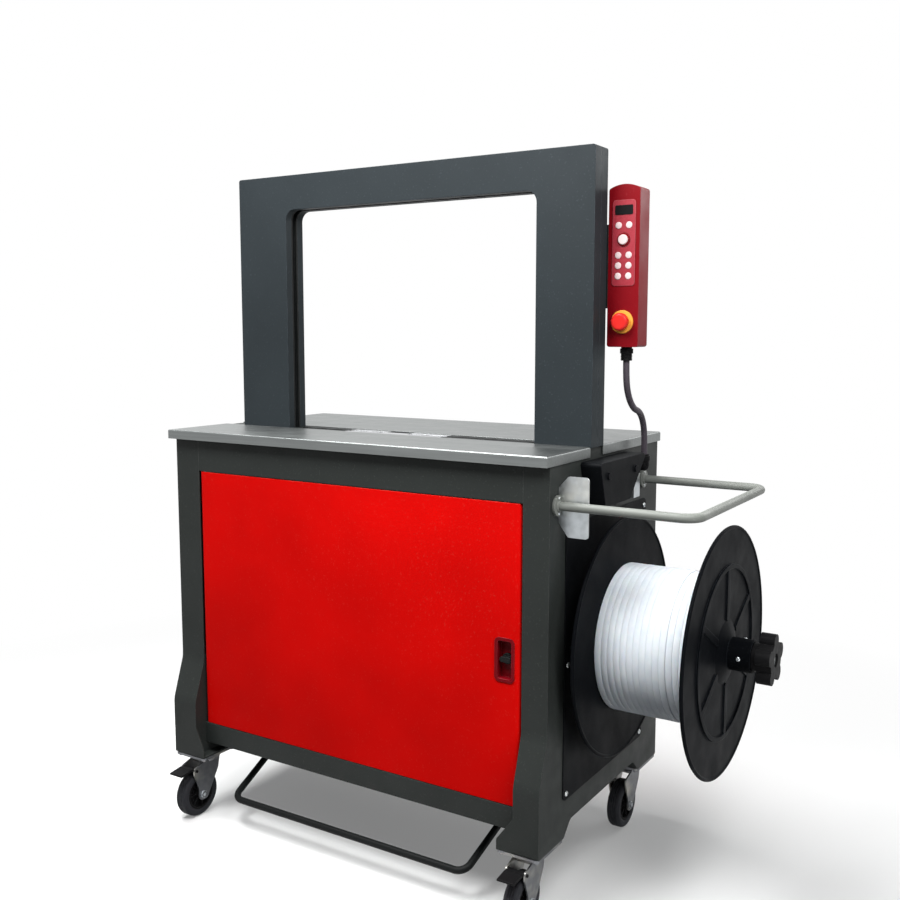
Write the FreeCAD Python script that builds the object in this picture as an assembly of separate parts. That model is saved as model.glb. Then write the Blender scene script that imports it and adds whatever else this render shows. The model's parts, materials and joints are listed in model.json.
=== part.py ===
import FreeCAD, Part
import math
import os

V = FreeCAD.Vector

# Frame: origin on the floor under the middle of the body, +X towards the strap reel,
# -Y towards the operator, +Z up. Millimetres.

# Driving sizes of the body
TABLE_HEIGHT = 850.0
BODY_LENGTH = 896.0
BODY_DEPTH = 494.0
POST_LEFT = 64.5
POST_RIGHT = 51.5
POST_DEPTH = 60.0
SILL_BOTTOM = 167.0
SILL_TOP = 211.0
HEADER_DROP = 86.0
RAIL_DEPTH = 40.0
PANEL_DROP = 130.0
SHEET = 2.0
FRAME_SHEET = 3.0
DOOR_GAP = 1.5
PLAY = 0.3
RUNNING = 0.05

# Flared feet
FOOT_FLARE = 29.0
FLARE_RISE = 139.0
FLARE_BOTTOM = 262.0
FOOT_BOTTOM = 140.0
FOOT_LENGTH = 100.0
FOOT_WIDTH = 85.0
FOOT_PLATE = 4.0
FLARE_RADIUS = 60.0

# Castors
WHEEL_RADIUS = 50.0
WHEEL_WIDTH = 28.0
CASTOR_TRAIL = 32.0
CASTOR_PLATE = 5.0
CASTOR_PIN = 6.0
CASTOR_AXLE = 4.0
CROWN_RADIUS = 30.0
CROWN_HEIGHT = 17.0
FORK_SHEET = 3.0
FORK_INSIDE = 17.5
PEDAL_PIVOT_BACK = 50.0
PEDAL_PIVOT_HEIGHT = 108.0
PEDAL_LENGTH = 42.0
PEDAL_PIN = 3.0

# Table plates
TABLE_FOLD = 19.0
TABLE_FRONT_OVERHANG = 18.0
TABLE_REAR_OVERHANG = 8.0
TABLE_LEFT_OVERHANG = 5.0
TABLE_RIGHT_OVERHANG = 3.0
TABLE_EDGE_RADIUS = 3.0
HINGE_STANDOFF = 11.0
HINGE_DROP = 10.0
KNUCKLE_RADIUS = 3.5
KNUCKLE_PIN = 1.5
KNUCKLE_LENGTH = 22.0
TABLE_HINGE_PLACE = 268.0

# Arch
ARCH_INSET = 52.0
ARCH_OVERHANG = 4.0
ARCH_FRONT = -92.0
ARCH_DEPTH = 54.0
ARCH_LEG_LEFT = 132.0
ARCH_LEG_RIGHT = 116.0
OPENING_HEIGHT = 464.0
ARCH_BEAM = 71.5
OPENING_RADIUS = 22.0
ARCH_RADIUS = 5.0
ARCH_SHEET = 2.0
BEAM_LEDGE = 10.0
TRACK_WIDTH = 20.0
TRACK_THICKNESS = 24.0
TRACK_GROOVE = 12.0
TRACK_GROOVE_DEPTH = 6.0
ARCH_SEAM = 0.6

# Strapping head
HEAD_LEFT = -120.0
HEAD_RIGHT = 120.0
HEAD_DROP = 210.0
HEAD_PLATE = 8.0
HEAD_MARGIN = 4.0
SLOT_DEPTH = 15.0
ANVIL_HALF = 30.0
FEED_X = 45.0
FEED_DROP = 105.0
FEED_RADIUS = 38.0
PINCH_RADIUS = 20.0
WHEEL_FACE = 20.0
CAM_X = -55.0
CAM_DROP = 125.0
CAM_RADIUS = 30.0
MOTOR_X = -40.0
MOTOR_DROP = 290.0
MOTOR_RADIUS = 52.0
MOTOR_LENGTH = 150.0
PULLEY_RADIUS = 20.0
BELT_WIDTH = 12.0
BELT_THICKNESS = 3.0
SHAFT = 7.0

# Switch cabinet
CABINET_INSET = 40.0
CABINET_WIDTH = 170.0
CABINET_HEIGHT = 380.0
CABINET_BACK = 180.0
CABINET_DEPTH = 240.0
CABINET_LID = 6.0
CABINET_LIP = 3.0
CABINET_HOOD = 26.0

# Reel
REEL_DROP = 367.5
REEL_STANDOFF = 37.6
REEL_SPAN = 230.0
REEL_RADIUS = 230.0
COIL_RADIUS = 139.5
CORE_RADIUS = 100.0
FLANGE_SHEET = 3.0
SHAFT_RADIUS = 12.5
SHAFT_END = 4.0
MOUNT_RADIUS = 70.0
MOUNT_THICKNESS = 8.0
MOUNT_BOLTS = 6
MOUNT_BOLT_CIRCLE = 54.0
MOUNT_BOLT_RADIUS = 8.0
MOUNT_BOLT_HEIGHT = 6.0
HUB_RADIUS = 20.0
BOSS_RADIUS = 30.0
BOSS_LENGTH = 52.0
NUT_LENGTH = 38.0
NUT_LOBES = 5
NUT_LOBE_RADIUS = 14.0
NUT_LOBE_CIRCLE = 33.0

# Guard rail
RAIL_DROP = 89.0
RAIL_RADIUS = 8.0
RAIL_LENGTH = 247.0
RAIL_FRONT_INSET = 26.0
RAIL_BACK_INSET = 80.0
RAIL_BEND = 30.0
RAIL_FLANGE = 18.0
RAIL_FLANGE_THICKNESS = 5.0
BRACKET_SHEET = 3.0
BRACKET_REACH = 56.0
BRACKET_NECK = 18.0
BRACKET_LOW = 55.0
BRACKET_HIGH = 51.0
BRACKET_SEAT_LOW = 31.0
BRACKET_SEAT_HIGH = 31.0
BRACKET_FOOT = 30.0
BRACKET_FOOT_LOW = 26.0
BRACKET_FOOT_HIGH = 26.0
BRACKET_CORNER = 6.0
STOP_SHOE_FRONT = 50.0
STOP_SHOE_BACK = 20.0
STOP_SHOE_LOW = 33.0
STOP_SHOE_HIGH = 14.0

# Strap guide housing on the right end
GUIDE_DROP = 24.0
GUIDE_HEIGHT = 81.0
GUIDE_REACH = 40.0
GUIDE_TOP_FRONT = -130.0
GUIDE_TOP_BACK = 85.0
GUIDE_LOW_FRONT = -104.0
GUIDE_LOW_BACK = 8.0
GUIDE_ROLLER = 14.0
GUIDE_ROLLER_Y = 30.0
GUIDE_ROLLER_DROP = 26.0
DANCER_Y = -95.0
DANCER_DROP = 26.0
DANCER_SPAN = 68.0
DANCER_ANGLE = 45.0
DANCER_ROLLER = 12.0

# Foot bar
BAR_RADIUS = 7.0
BAR_PROUD = 5.0
BAR_HEIGHT = 60.0
BAR_INSET_LEFT = 148.0
BAR_INSET_RIGHT = 166.0
BAR_SPLAY = 12.0
BAR_LENGTH = 152.0
BAR_PIVOT_DROP = 41.0
BAR_BEND = 24.0

# Control box
BOX_STANDOFF = 3.0
BOX_WIDTH = 60.0
BOX_RISE = 180.0
BOX_HEIGHT = 290.0
BOX_DEPTH = 44.0
BOX_CROWN = 8.0
START_RISE = 192.0
START_RADIUS = 9.0
START_TRAVEL = 3.0
STOP_RISE = 45.5
STOP_RADIUS = 16.0
STOP_STEM = 8.0
STOP_TRAVEL = 4.0
KEYPAD_RISE = 110.0
KEYPAD_HEIGHT = 152.0
KEYPAD_SHEET = 1.2
ARM_RISE = 70.0
ARM_HEIGHT = 150.0
ARM_LEAF = 50.0
ARM_MARGIN = 6.0
ARM_CORNER = 5.0

# Control cable, from the gland under the box to the elbow on the right end
CABLE_RADIUS = 6.0
GLAND_RADIUS = 10.0
GLAND_LENGTH = 25.0
ELBOW_INSET = 133.0
ELBOW_DROP = 55.0
ELBOW_REACH = 24.0
ELBOW_RISE = 23.0

# Door latch and switch
LATCH_INSET = 34.5
LATCH_RISE = 269.0
CUP_WIDTH = 32.0
CUP_HEIGHT = 73.0
CUP_DEPTH = 15.0
LATCH_SPINDLE = 5.0
CAM_REACH = 48.0
DOOR_PIVOT = 12.0
DOOR_DEPTH = 20.0
DOOR_PIN = 4.0
SWITCH_INSET = 198.0
SWITCH_DROP = 200.0

# Places that follow from the driving sizes
LEFT = -BODY_LENGTH / 2
RIGHT = BODY_LENGTH / 2
FRONT = -BODY_DEPTH / 2
BACK = BODY_DEPTH / 2
FRAME_TOP = TABLE_HEIGHT - SHEET
BAY_LEFT = LEFT + POST_LEFT
BAY_RIGHT = RIGHT - POST_RIGHT
FOOT_FRONT = FRONT - FOOT_FLARE
FOOT_Y = FOOT_FRONT + FOOT_LENGTH / 2
FOOT_X = RIGHT - FOOT_WIDTH / 2
OPENING_TOP = TABLE_HEIGHT + OPENING_HEIGHT
ARCH_TOP = OPENING_TOP + ARCH_BEAM
ARCH_BACK = ARCH_FRONT + ARCH_DEPTH
ARCH_MIDDLE = (ARCH_FRONT + ARCH_BACK) / 2
TABLE_LEFT = LEFT - TABLE_LEFT_OVERHANG
TABLE_RIGHT = RIGHT + TABLE_RIGHT_OVERHANG
TABLE_FRONT = FRONT - TABLE_FRONT_OVERHANG
TABLE_BACK = BACK + TABLE_REAR_OVERHANG
TABLE_HINGE_Y = BACK + HINGE_STANDOFF
TABLE_HINGE_Z = TABLE_HEIGHT - HINGE_DROP
BOX_BACK = ARCH_BACK + BOX_DEPTH
BOX_Y = (ARCH_BACK + BOX_BACK) / 2
DOOR_LEFT = BAY_LEFT + DOOR_GAP
DOOR_RIGHT = BAY_RIGHT - DOOR_GAP
DOOR_BOTTOM = SILL_TOP + DOOR_GAP
DOOR_HINGE_X = DOOR_LEFT + DOOR_PIVOT
DOOR_HINGE_Y = FRONT + DOOR_PIVOT
HEAD_FRONT = ARCH_FRONT - HEAD_PLATE - HEAD_MARGIN
HEAD_BACK = ARCH_BACK + HEAD_MARGIN
SLOT_Z = TABLE_HEIGHT - 1.0
RAIL_BOTTOM = TABLE_HEIGHT - HEADER_DROP
DOOR_TOP = RAIL_BOTTOM - DOOR_GAP
PANEL_TOP = TABLE_HEIGHT - PANEL_DROP
ARCH_LEFT = LEFT + ARCH_INSET
OPENING_LEFT = ARCH_LEFT + ARCH_LEG_LEFT
BEAM_LEFT_IN = OPENING_LEFT + BEAM_LEDGE
ARCH_RIGHT = RIGHT + ARCH_OVERHANG
OPENING_RIGHT = ARCH_RIGHT - ARCH_LEG_RIGHT
BEAM_RIGHT_IN = OPENING_RIGHT - BEAM_LEDGE
HEAD_BOTTOM = TABLE_HEIGHT - HEAD_DROP
FEED_Z = TABLE_HEIGHT - FEED_DROP
CAM_Z = TABLE_HEIGHT - CAM_DROP
MOTOR_Z = TABLE_HEIGHT - MOTOR_DROP
REEL_HEIGHT = TABLE_HEIGHT - REEL_DROP
REEL_INSIDE = RIGHT + REEL_STANDOFF
REEL_OUTSIDE = RIGHT + REEL_SPAN
RAIL_HEIGHT = TABLE_HEIGHT - RAIL_DROP
RAIL_REACH = RIGHT + RAIL_LENGTH
RAIL_FRONT = FRONT + RAIL_FRONT_INSET
RAIL_BACK = BACK - RAIL_BACK_INSET
GUIDE_TOP = TABLE_HEIGHT - GUIDE_DROP
GUIDE_BOTTOM = GUIDE_TOP - GUIDE_HEIGHT
GUIDE_ROLLER_Z = GUIDE_TOP - GUIDE_ROLLER_DROP
DANCER_Z = GUIDE_TOP - DANCER_DROP
BAR_FRONT = FRONT - BAR_PROUD
BAR_LEFT = LEFT + BAR_INSET_LEFT
BAR_RIGHT = RIGHT - BAR_INSET_RIGHT
BAR_PIVOT_Y = BAR_FRONT + BAR_LENGTH
BAR_PIVOT_Z = SILL_BOTTOM - BAR_PIVOT_DROP
BOX_LEFT = ARCH_RIGHT + BOX_STANDOFF
BOX_RIGHT = BOX_LEFT + BOX_WIDTH
BOX_X = BOX_LEFT + BOX_WIDTH / 2
BOX_BOTTOM = TABLE_HEIGHT + BOX_RISE
STOP_HEIGHT = BOX_BOTTOM + STOP_RISE
START_HEIGHT = BOX_BOTTOM + START_RISE
KEYPAD_BOTTOM = BOX_BOTTOM + KEYPAD_RISE
KEYPAD_TOP = KEYPAD_BOTTOM + KEYPAD_HEIGHT
ELBOW_Z = TABLE_HEIGHT - ELBOW_DROP
ELBOW_Y = BACK - ELBOW_INSET
LATCH_X = BAY_RIGHT - LATCH_INSET
LATCH_Z = SILL_TOP + LATCH_RISE
SWITCH_X = RIGHT - SWITCH_INSET
SWITCH_Z = TABLE_HEIGHT - SWITCH_DROP
FLARE_TOP = SILL_TOP + FLARE_RISE


def box(x0, x1, y0, y1, z0, z1):
    return Part.makeBox(x1 - x0, y1 - y0, z1 - z0, V(x0, y0, z0))


def rod_x(y, z, radius, x0, x1):
    return Part.makeCylinder(radius, x1 - x0, V(x0, y, z), V(1, 0, 0))


def rod_y(x, z, radius, y0, y1):
    return Part.makeCylinder(radius, y1 - y0, V(x, y0, z), V(0, 1, 0))


def rod_z(x, y, radius, z0, z1):
    return Part.makeCylinder(radius, z1 - z0, V(x, y, z0), V(0, 0, 1))


def ring_x(y, z, inner, outer, x0, x1):
    return rod_x(y, z, outer, x0, x1).cut(rod_x(y, z, inner, x0 - 1, x1 + 1))


def fuse(shapes):
    first = shapes[0]
    if len(shapes) == 1:
        return first
    return first.multiFuse(shapes[1:]).removeSplitter()


def cut(shape, tools):
    for tool in tools:
        shape = shape.cut(tool)
    return shape


def rounded_wire(points, radii, closed=True):
    """A wire through the points with a tangent arc at every corner that has a radius."""
    count = len(points)
    edges = []
    starts = []
    ends = []
    arcs = []
    for i, corner in enumerate(points):
        radius = radii[i]
        if radius <= 0 or (not closed and i in (0, count - 1)):
            starts.append(corner)
            ends.append(corner)
            arcs.append(None)
            continue
        before = (points[i - 1] - corner).normalize()
        after = (points[(i + 1) % count] - corner).normalize()
        half = before.getAngle(after) / 2
        reach = radius / math.tan(half)
        middle = (before + after).normalize()
        centre = corner + middle * (radius / math.sin(half))
        start = corner + before * reach
        end = corner + after * reach
        starts.append(start)
        ends.append(end)
        arcs.append(Part.Arc(start, centre - middle * radius, end).toShape())
    for i in range(count):
        if arcs[i] is not None:
            edges.append(arcs[i])
        following = (i + 1) % count
        if following == 0 and not closed:
            break
        if (starts[following] - ends[i]).Length > 1e-6:
            edges.append(Part.LineSegment(ends[i], starts[following]).toShape())
    return Part.Wire(edges)


def prism(plane, points, radii, a, b):
    """A solid whose outline lies in the yz, xz or xy plane and which runs from a to b."""
    place = {
        "yz": lambda u, v: V(a, u, v),
        "xz": lambda u, v: V(u, a, v),
        "xy": lambda u, v: V(u, v, a),
    }[plane]
    along = {"yz": V(b - a, 0, 0), "xz": V(0, b - a, 0), "xy": V(0, 0, b - a)}[plane]
    wire = rounded_wire([place(u, v) for u, v in points], radii)
    return Part.Face(wire).extrude(along)


def pad(plane, u0, u1, v0, v1, radius, a, b):
    """A rectangle with rounded corners, run from a to b."""
    corners = [(u0, v0), (u1, v0), (u1, v1), (u0, v1)]
    return prism(plane, corners, [radius] * 4, a, b)


def tube_along(points, radius, bends):
    """A round bar along a route of straight runs and tangent arcs."""
    path = rounded_wire(points, bends, closed=False)
    start = points[0]
    heading = points[1] - points[0]
    profile = Part.Wire(Part.makeCircle(radius, start, heading))
    return path.makePipeShell([profile], True, False)


def edges_at(shape, test):
    return [edge for edge in shape.Edges if test(edge.BoundBox)]


def screw(plane, u, v, seat, radius, height):
    """A round-headed screw whose head stands on a seat; a negative height points backwards."""
    low = min(seat, seat + height)
    high = max(seat, seat + height)
    make = {"x": rod_x, "y": rod_y, "z": rod_z}[plane]
    head = make(u, v, radius, low, high)
    outer = edges_at(head, lambda b: abs(getattr(b, plane.upper() + "Min") - (seat + height)) < 1e-3
                     and abs(getattr(b, plane.upper() + "Max") - (seat + height)) < 1e-3)
    return head.makeFillet(abs(height) * 0.5, outer)


# End frames

def end_outline(inset):
    """Half-symmetric side outline of an end frame with its two flared feet."""
    front = FRONT + inset
    foot = FOOT_FRONT + inset
    foot_back = FOOT_FRONT + FOOT_LENGTH - inset
    skirt = foot_back + (SILL_BOTTOM - FOOT_BOTTOM)
    half = [
        (front, FRAME_TOP - inset),
        (front, FLARE_TOP),
        (foot, FLARE_BOTTOM),
        (foot, FOOT_BOTTOM),
        (foot_back, FOOT_BOTTOM),
        (skirt, SILL_BOTTOM + inset),
    ]
    radii = [4.0, FLARE_RADIUS, FLARE_RADIUS, 3.0, 8.0, 18.0]
    mirrored = [(-y, z) for y, z in reversed(half)]
    return half + mirrored, radii + radii[::-1]


def end_frame(side, post):
    """Pressed end frame: posts, top and bottom rails and feet folded from one sheet."""
    outer = side * BODY_LENGTH / 2
    inner = outer - side * post
    points, radii = end_outline(0.0)
    body = prism("yz", points, radii, min(outer, inner), max(outer, inner))
    skin = outer - side * FRAME_SHEET
    low, high = sorted((inner - side, skin))
    post_in = POST_DEPTH - FRAME_SHEET
    pockets = [
        box(low, high, FRONT + FRAME_SHEET, FRONT + post_in, FLARE_TOP + 10, FRAME_TOP - FRAME_SHEET),
        box(low, high, BACK - post_in, BACK - FRAME_SHEET, FLARE_TOP + 10, FRAME_TOP - FRAME_SHEET),
        box(low, high, FRONT + post_in - 1, BACK - post_in + 1,
            RAIL_BOTTOM + FRAME_SHEET, FRAME_TOP - FRAME_SHEET),
        box(low, high, FRONT + POST_DEPTH, BACK - POST_DEPTH, SILL_TOP, RAIL_BOTTOM),
    ]
    foot_low, foot_high = sorted((inner + side * FRAME_SHEET, skin))
    for sign in (-1, 1):
        y0, y1 = sorted((sign * (-FOOT_FRONT - FRAME_SHEET),
                         sign * (-FOOT_FRONT - FOOT_LENGTH + FRAME_SHEET)))
        pockets.append(box(foot_low, foot_high, y0, y1, FOOT_BOTTOM - 1, FLARE_BOTTOM))
    body = cut(body, pockets)
    shelf_out = outer - side * FOOT_WIDTH
    extras = []
    for sign in (-1, 1):
        face = sign * -FOOT_FRONT
        back = sign * (-FOOT_FRONT - FOOT_LENGTH)
        x0, x1 = sorted((inner, shelf_out))
        y0, y1 = sorted((face, back))
        extras.append(box(x0, x1, y0, y1, FOOT_BOTTOM, FOOT_BOTTOM + FOOT_PLATE))
        for edge, step in ((face, -sign), (back, sign)):
            a, b = sorted((edge, edge + step * FRAME_SHEET))
            web = [(inner - side * -1.0, FOOT_BOTTOM), (shelf_out, FOOT_BOTTOM),
                   (shelf_out, FOOT_BOTTOM + 20), (inner - side * -1.0, SILL_TOP - 5)]
            extras.append(prism("xz", web, [0, 0, 12.0, 0], a, b))
    return fuse([body] + extras)


def end_panel(side):
    """Flat cover screwed over the outside of an end frame."""
    outer = side * BODY_LENGTH / 2
    x0, x1 = sorted((outer, outer + side * SHEET))
    margin = POST_DEPTH + 2
    panel = pad("yz", FRONT + margin, BACK - margin, SILL_TOP + 2, PANEL_TOP, 10.0, x0, x1)
    return panel


def frame_rails():
    """Hollow rails along the body, cross beams under the arch legs and two head rails."""
    solids = []
    for y0, y1 in ((FRONT, FRONT + RAIL_DEPTH), (BACK - RAIL_DEPTH, BACK)):
        for z0, z1 in ((SILL_BOTTOM, SILL_TOP), (RAIL_BOTTOM, FRAME_TOP)):
            outer = box(BAY_LEFT, BAY_RIGHT, y0, y1, z0, z1)
            inner = box(BAY_LEFT - 1, BAY_RIGHT + 1, y0 + SHEET, y1 - SHEET, z0 + SHEET, z1 - SHEET)
            solids.append(outer.cut(inner))
    beam_bottom = FRAME_TOP - 40
    for x0, x1 in ((ARCH_LEFT + 20, BEAM_LEFT_IN), (BEAM_RIGHT_IN, BAY_RIGHT)):
        outer = box(x0, x1, FRONT + RAIL_DEPTH, BACK - RAIL_DEPTH, beam_bottom, FRAME_TOP)
        inner = box(x0 + SHEET, x1 - SHEET, FRONT, BACK, beam_bottom + SHEET, FRAME_TOP - SHEET)
        solids.append(outer.cut(inner))
    for y0, y1 in ((HEAD_FRONT - 25, HEAD_FRONT), (HEAD_BACK + HEAD_PLATE, HEAD_BACK + HEAD_PLATE + 25)):
        outer = box(BEAM_LEFT_IN, BEAM_RIGHT_IN, y0, y1, beam_bottom, beam_bottom + 25)
        inner = box(BEAM_LEFT_IN - 1, BEAM_RIGHT_IN + 1, y0 + SHEET, y1 - SHEET,
                    beam_bottom + SHEET, beam_bottom + 25 - SHEET)
        solids.append(outer.cut(inner))
    return Part.makeCompound(solids)


def base_tray():
    """Floor of the body between the sills, with turned-up edges and drain slots."""
    x0 = LEFT + FOOT_WIDTH + 1
    x1 = RIGHT - FOOT_WIDTH - 1
    y0 = FRONT + RAIL_DEPTH
    y1 = BACK - RAIL_DEPTH
    z0 = SILL_BOTTOM
    tray = box(x0, x1, y0, y1, z0, SILL_TOP - 6)
    tray = tray.cut(box(x0 + SHEET, x1 - SHEET, y0 + SHEET, y1 - SHEET, z0 + SHEET, SILL_TOP))
    for i in range(4):
        x = x0 + 330 + i * 90
        tray = tray.cut(pad("xy", x, x + 50, 90, 100, 4.9, z0 - 1, z0 + SHEET + 1))
    return fuse([tray] + foot_bar_hangers())


# Castors

def castor_plates():
    """Four top plates, each with its kingpin and four bolt heads."""
    solids = []
    for x, y in castor_places().values():
        plate = pad("xy", x - FOOT_WIDTH / 2, x + FOOT_WIDTH / 2, y - FOOT_LENGTH / 2,
                    y + FOOT_LENGTH / 2, 8.0, FOOT_BOTTOM - CASTOR_PLATE, FOOT_BOTTOM)
        under = FOOT_BOTTOM - CASTOR_PLATE
        foot = under - PLAY - CROWN_HEIGHT - PLAY
        pin = rod_z(x, y, CASTOR_PIN, foot - 6, under)
        head = rod_z(x, y, CASTOR_PIN + 4, foot - 6, foot)
        pieces = [plate, pin, head]
        for dx in (-1, 1):
            for dy in (-1, 1):
                pieces.append(rod_z(x + dx * (FOOT_WIDTH / 2 - 8), y + dy * (FOOT_LENGTH / 2 - 9),
                                    5.0, under - 4, under))
        solids.append(fuse(pieces))
    return Part.makeCompound(solids)


def castor_places():
    return {
        "front_left": (-FOOT_X, FOOT_Y),
        "front_right": (FOOT_X, FOOT_Y),
        "rear_left": (-FOOT_X, -FOOT_Y),
        "rear_right": (FOOT_X, -FOOT_Y),
    }


def castor_fork(x, y, braked):
    """Swivel crown with two legs, the wheel axle and a bore for the brake pedal's pin."""
    crown_top = FOOT_BOTTOM - CASTOR_PLATE - PLAY
    crown_low = crown_top - CROWN_HEIGHT
    crown = Part.makeCone(CROWN_RADIUS - 6, CROWN_RADIUS, CROWN_HEIGHT, V(x, y, crown_low))
    wheel_y = y - CASTOR_TRAIL
    outline = [
        (y + 20, crown_low + 6),
        (y - 22, crown_low + 6),
        (y - PEDAL_PIVOT_BACK - 7, PEDAL_PIVOT_HEIGHT + 6),
        (y - PEDAL_PIVOT_BACK - 7, PEDAL_PIVOT_HEIGHT - 8),
        (wheel_y - 12, WHEEL_RADIUS + 14),
        (wheel_y - 12, WHEEL_RADIUS - 12),
        (wheel_y + 12, WHEEL_RADIUS - 12),
        (y + 14, crown_low - 22),
    ]
    radii = [0, 0, 6.0, 6.0, 14.0, 10.0, 10.0, 16.0]
    pieces = [crown]
    for sign in (-1, 1):
        a, b = sorted((x + sign * FORK_INSIDE, x + sign * (FORK_INSIDE + FORK_SHEET)))
        pieces.append(prism("yz", outline, radii, a, b))
    reach = FORK_INSIDE + FORK_SHEET
    bridge_low = WHEEL_RADIUS * 2 + 4
    pieces.append(box(x - FORK_INSIDE, x + FORK_INSIDE, y - 22, y + 16, crown_low - 4, crown_low + 2))
    pieces.append(rod_x(wheel_y, WHEEL_RADIUS, CASTOR_AXLE, x - reach - 4, x + reach + 4))
    pieces.append(rod_x(wheel_y, WHEEL_RADIUS, CASTOR_AXLE + 3, x - reach - 4, x - reach))
    pieces.append(rod_x(wheel_y, WHEEL_RADIUS, CASTOR_AXLE + 3, x + reach, x + reach + 4))
    fork = fuse(pieces)
    head_low = crown_low - PLAY - 6 - 1
    fork = fork.cut(rod_z(x, y, CASTOR_PIN + RUNNING, bridge_low - 10, crown_top + 1))
    fork = fork.cut(rod_z(x, y, CASTOR_PIN + 4 + PLAY, head_low - 6, crown_low))
    if braked:
        bore = rod_x(y - PEDAL_PIVOT_BACK, PEDAL_PIVOT_HEIGHT, PEDAL_PIN + RUNNING,
                     x - reach - 1, x + reach + 1)
        fork = fork.cut(bore)
    return fork


def castor_wheel(x, y):
    """Wheel turned as one profile: hub, dished web and crowned tyre."""
    half = WHEEL_WIDTH / 2
    hub = 12.0
    hub_half = FORK_INSIDE - 1.0
    bore = CASTOR_AXLE + RUNNING
    rim = WHEEL_RADIUS - 14
    web = 4.0
    profile = [
        (-hub_half, bore), (hub_half, bore), (hub_half, hub), (web, hub + 2), (web, rim - 4),
        (half, rim), (half, WHEEL_RADIUS), (-half, WHEEL_RADIUS), (-half, rim),
        (-web, rim - 4), (-web, hub + 2), (-hub_half, hub),
    ]
    radii = [0, 0, 0, 0, 0, 0, 7.0, 7.0, 0, 0, 0, 0]
    wire = rounded_wire([V(a, 0, b) for a, b in profile], radii)
    wheel = Part.Face(wire).revolve(V(0, 0, 0), V(1, 0, 0), 360)
    wheel.translate(V(x, y - CASTOR_TRAIL, WHEEL_RADIUS))
    return wheel


def castor_brake(x, y):
    """Brake pedal: a pressed tread on a cross pin between the fork legs."""
    y0 = y - PEDAL_PIVOT_BACK
    z0 = PEDAL_PIVOT_HEIGHT
    half = FORK_INSIDE - 0.5
    reach = FORK_INSIDE + FORK_SHEET + 2
    outline = [(y0 + 5, z0 - 4), (y0 + 5, z0 + 4), (y0 - 12, z0 + 7), (y0 - PEDAL_LENGTH, z0 + 3),
               (y0 - PEDAL_LENGTH, z0 - 1), (y0 - 12, z0 + 1)]
    pedal = prism("yz", outline, [2.0, 3.0, 10.0, 1.5, 1.5, 8.0], x - half, x + half)
    pin = rod_x(y0, z0, PEDAL_PIN, x - reach, x + reach)
    return fuse([pedal, pin])


# Door and covers

def front_door():
    """Sheet steel door with returned edges, pivoting on two pins near its left edge."""
    door = box(DOOR_LEFT, DOOR_RIGHT, FRONT, FRONT + DOOR_DEPTH, DOOR_BOTTOM, DOOR_TOP)
    corners = edges_at(door, lambda b: b.XLength < 1e-6 and b.YLength < 1e-6
                       and abs(b.YMin - FRONT) < 1e-6)
    door = door.makeFillet(DOOR_PIVOT - 2, corners)
    hollow = box(DOOR_LEFT + SHEET, DOOR_RIGHT - SHEET, FRONT + SHEET, FRONT + DOOR_DEPTH + 1,
                 DOOR_BOTTOM + SHEET, DOOR_TOP - SHEET)
    inner = edges_at(hollow, lambda b: b.XLength < 1e-6 and b.YLength < 1e-6
                     and abs(b.YMin - FRONT - SHEET) < 1e-6)
    hollow = hollow.makeFillet(DOOR_PIVOT - 2 - SHEET, inner)
    door = door.cut(hollow)
    middle = (DOOR_LEFT + DOOR_RIGHT) / 2
    stiffener = prism("xy", [(middle - 34, FRONT + SHEET), (middle - 22, FRONT + SHEET + 12),
                             (middle + 22, FRONT + SHEET + 12), (middle + 34, FRONT + SHEET)],
                      [0, 3.0, 3.0, 0], DOOR_BOTTOM + SHEET, DOOR_TOP - SHEET)
    channel = prism("xy", [(middle - 28, FRONT + SHEET - 1), (middle - 20, FRONT + SHEET + 10),
                           (middle + 20, FRONT + SHEET + 10), (middle + 28, FRONT + SHEET - 1)],
                    [0, 2.0, 2.0, 0], DOOR_BOTTOM + 20, DOOR_TOP - 20)
    channel = channel.common(box(middle - 40, middle + 40, FRONT + SHEET, FRONT + 40, 0, FRAME_TOP))
    door = fuse([door, stiffener.cut(channel)])
    for z in (DOOR_BOTTOM, DOOR_TOP):
        door = door.cut(rod_z(DOOR_HINGE_X, DOOR_HINGE_Y, DOOR_PIN + RUNNING, z - 5, z + 5))
    window = pad("xz", LATCH_X - CUP_WIDTH / 2 - PLAY, LATCH_X + CUP_WIDTH / 2 + PLAY,
                 LATCH_Z - CUP_HEIGHT / 2 - PLAY, LATCH_Z + CUP_HEIGHT / 2 + PLAY,
                 6.0, FRONT - 1, FRONT + 5)
    return door.cut(window)


def door_latch_cup():
    """Recessed handle cup with a narrow rim on the door skin."""
    rim = pad("xz", LATCH_X - CUP_WIDTH / 2 - 4, LATCH_X + CUP_WIDTH / 2 + 4,
              LATCH_Z - CUP_HEIGHT / 2 - 4, LATCH_Z + CUP_HEIGHT / 2 + 4, 9.0, FRONT - 1.5, FRONT)
    shell = pad("xz", LATCH_X - CUP_WIDTH / 2, LATCH_X + CUP_WIDTH / 2,
                LATCH_Z - CUP_HEIGHT / 2, LATCH_Z + CUP_HEIGHT / 2, 6.0, FRONT - 1, FRONT + CUP_DEPTH)
    hollow = pad("xz", LATCH_X - CUP_WIDTH / 2 + SHEET, LATCH_X + CUP_WIDTH / 2 - SHEET,
                 LATCH_Z - CUP_HEIGHT / 2 + SHEET, LATCH_Z + CUP_HEIGHT / 2 - SHEET,
                 4.5, FRONT - 5, FRONT + CUP_DEPTH - SHEET)
    cup = fuse([rim, shell]).cut(hollow)
    bore = rod_y(LATCH_X, LATCH_Z, LATCH_SPINDLE + RUNNING, FRONT, FRONT + CUP_DEPTH + 5)
    return cup.cut(bore)


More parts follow.
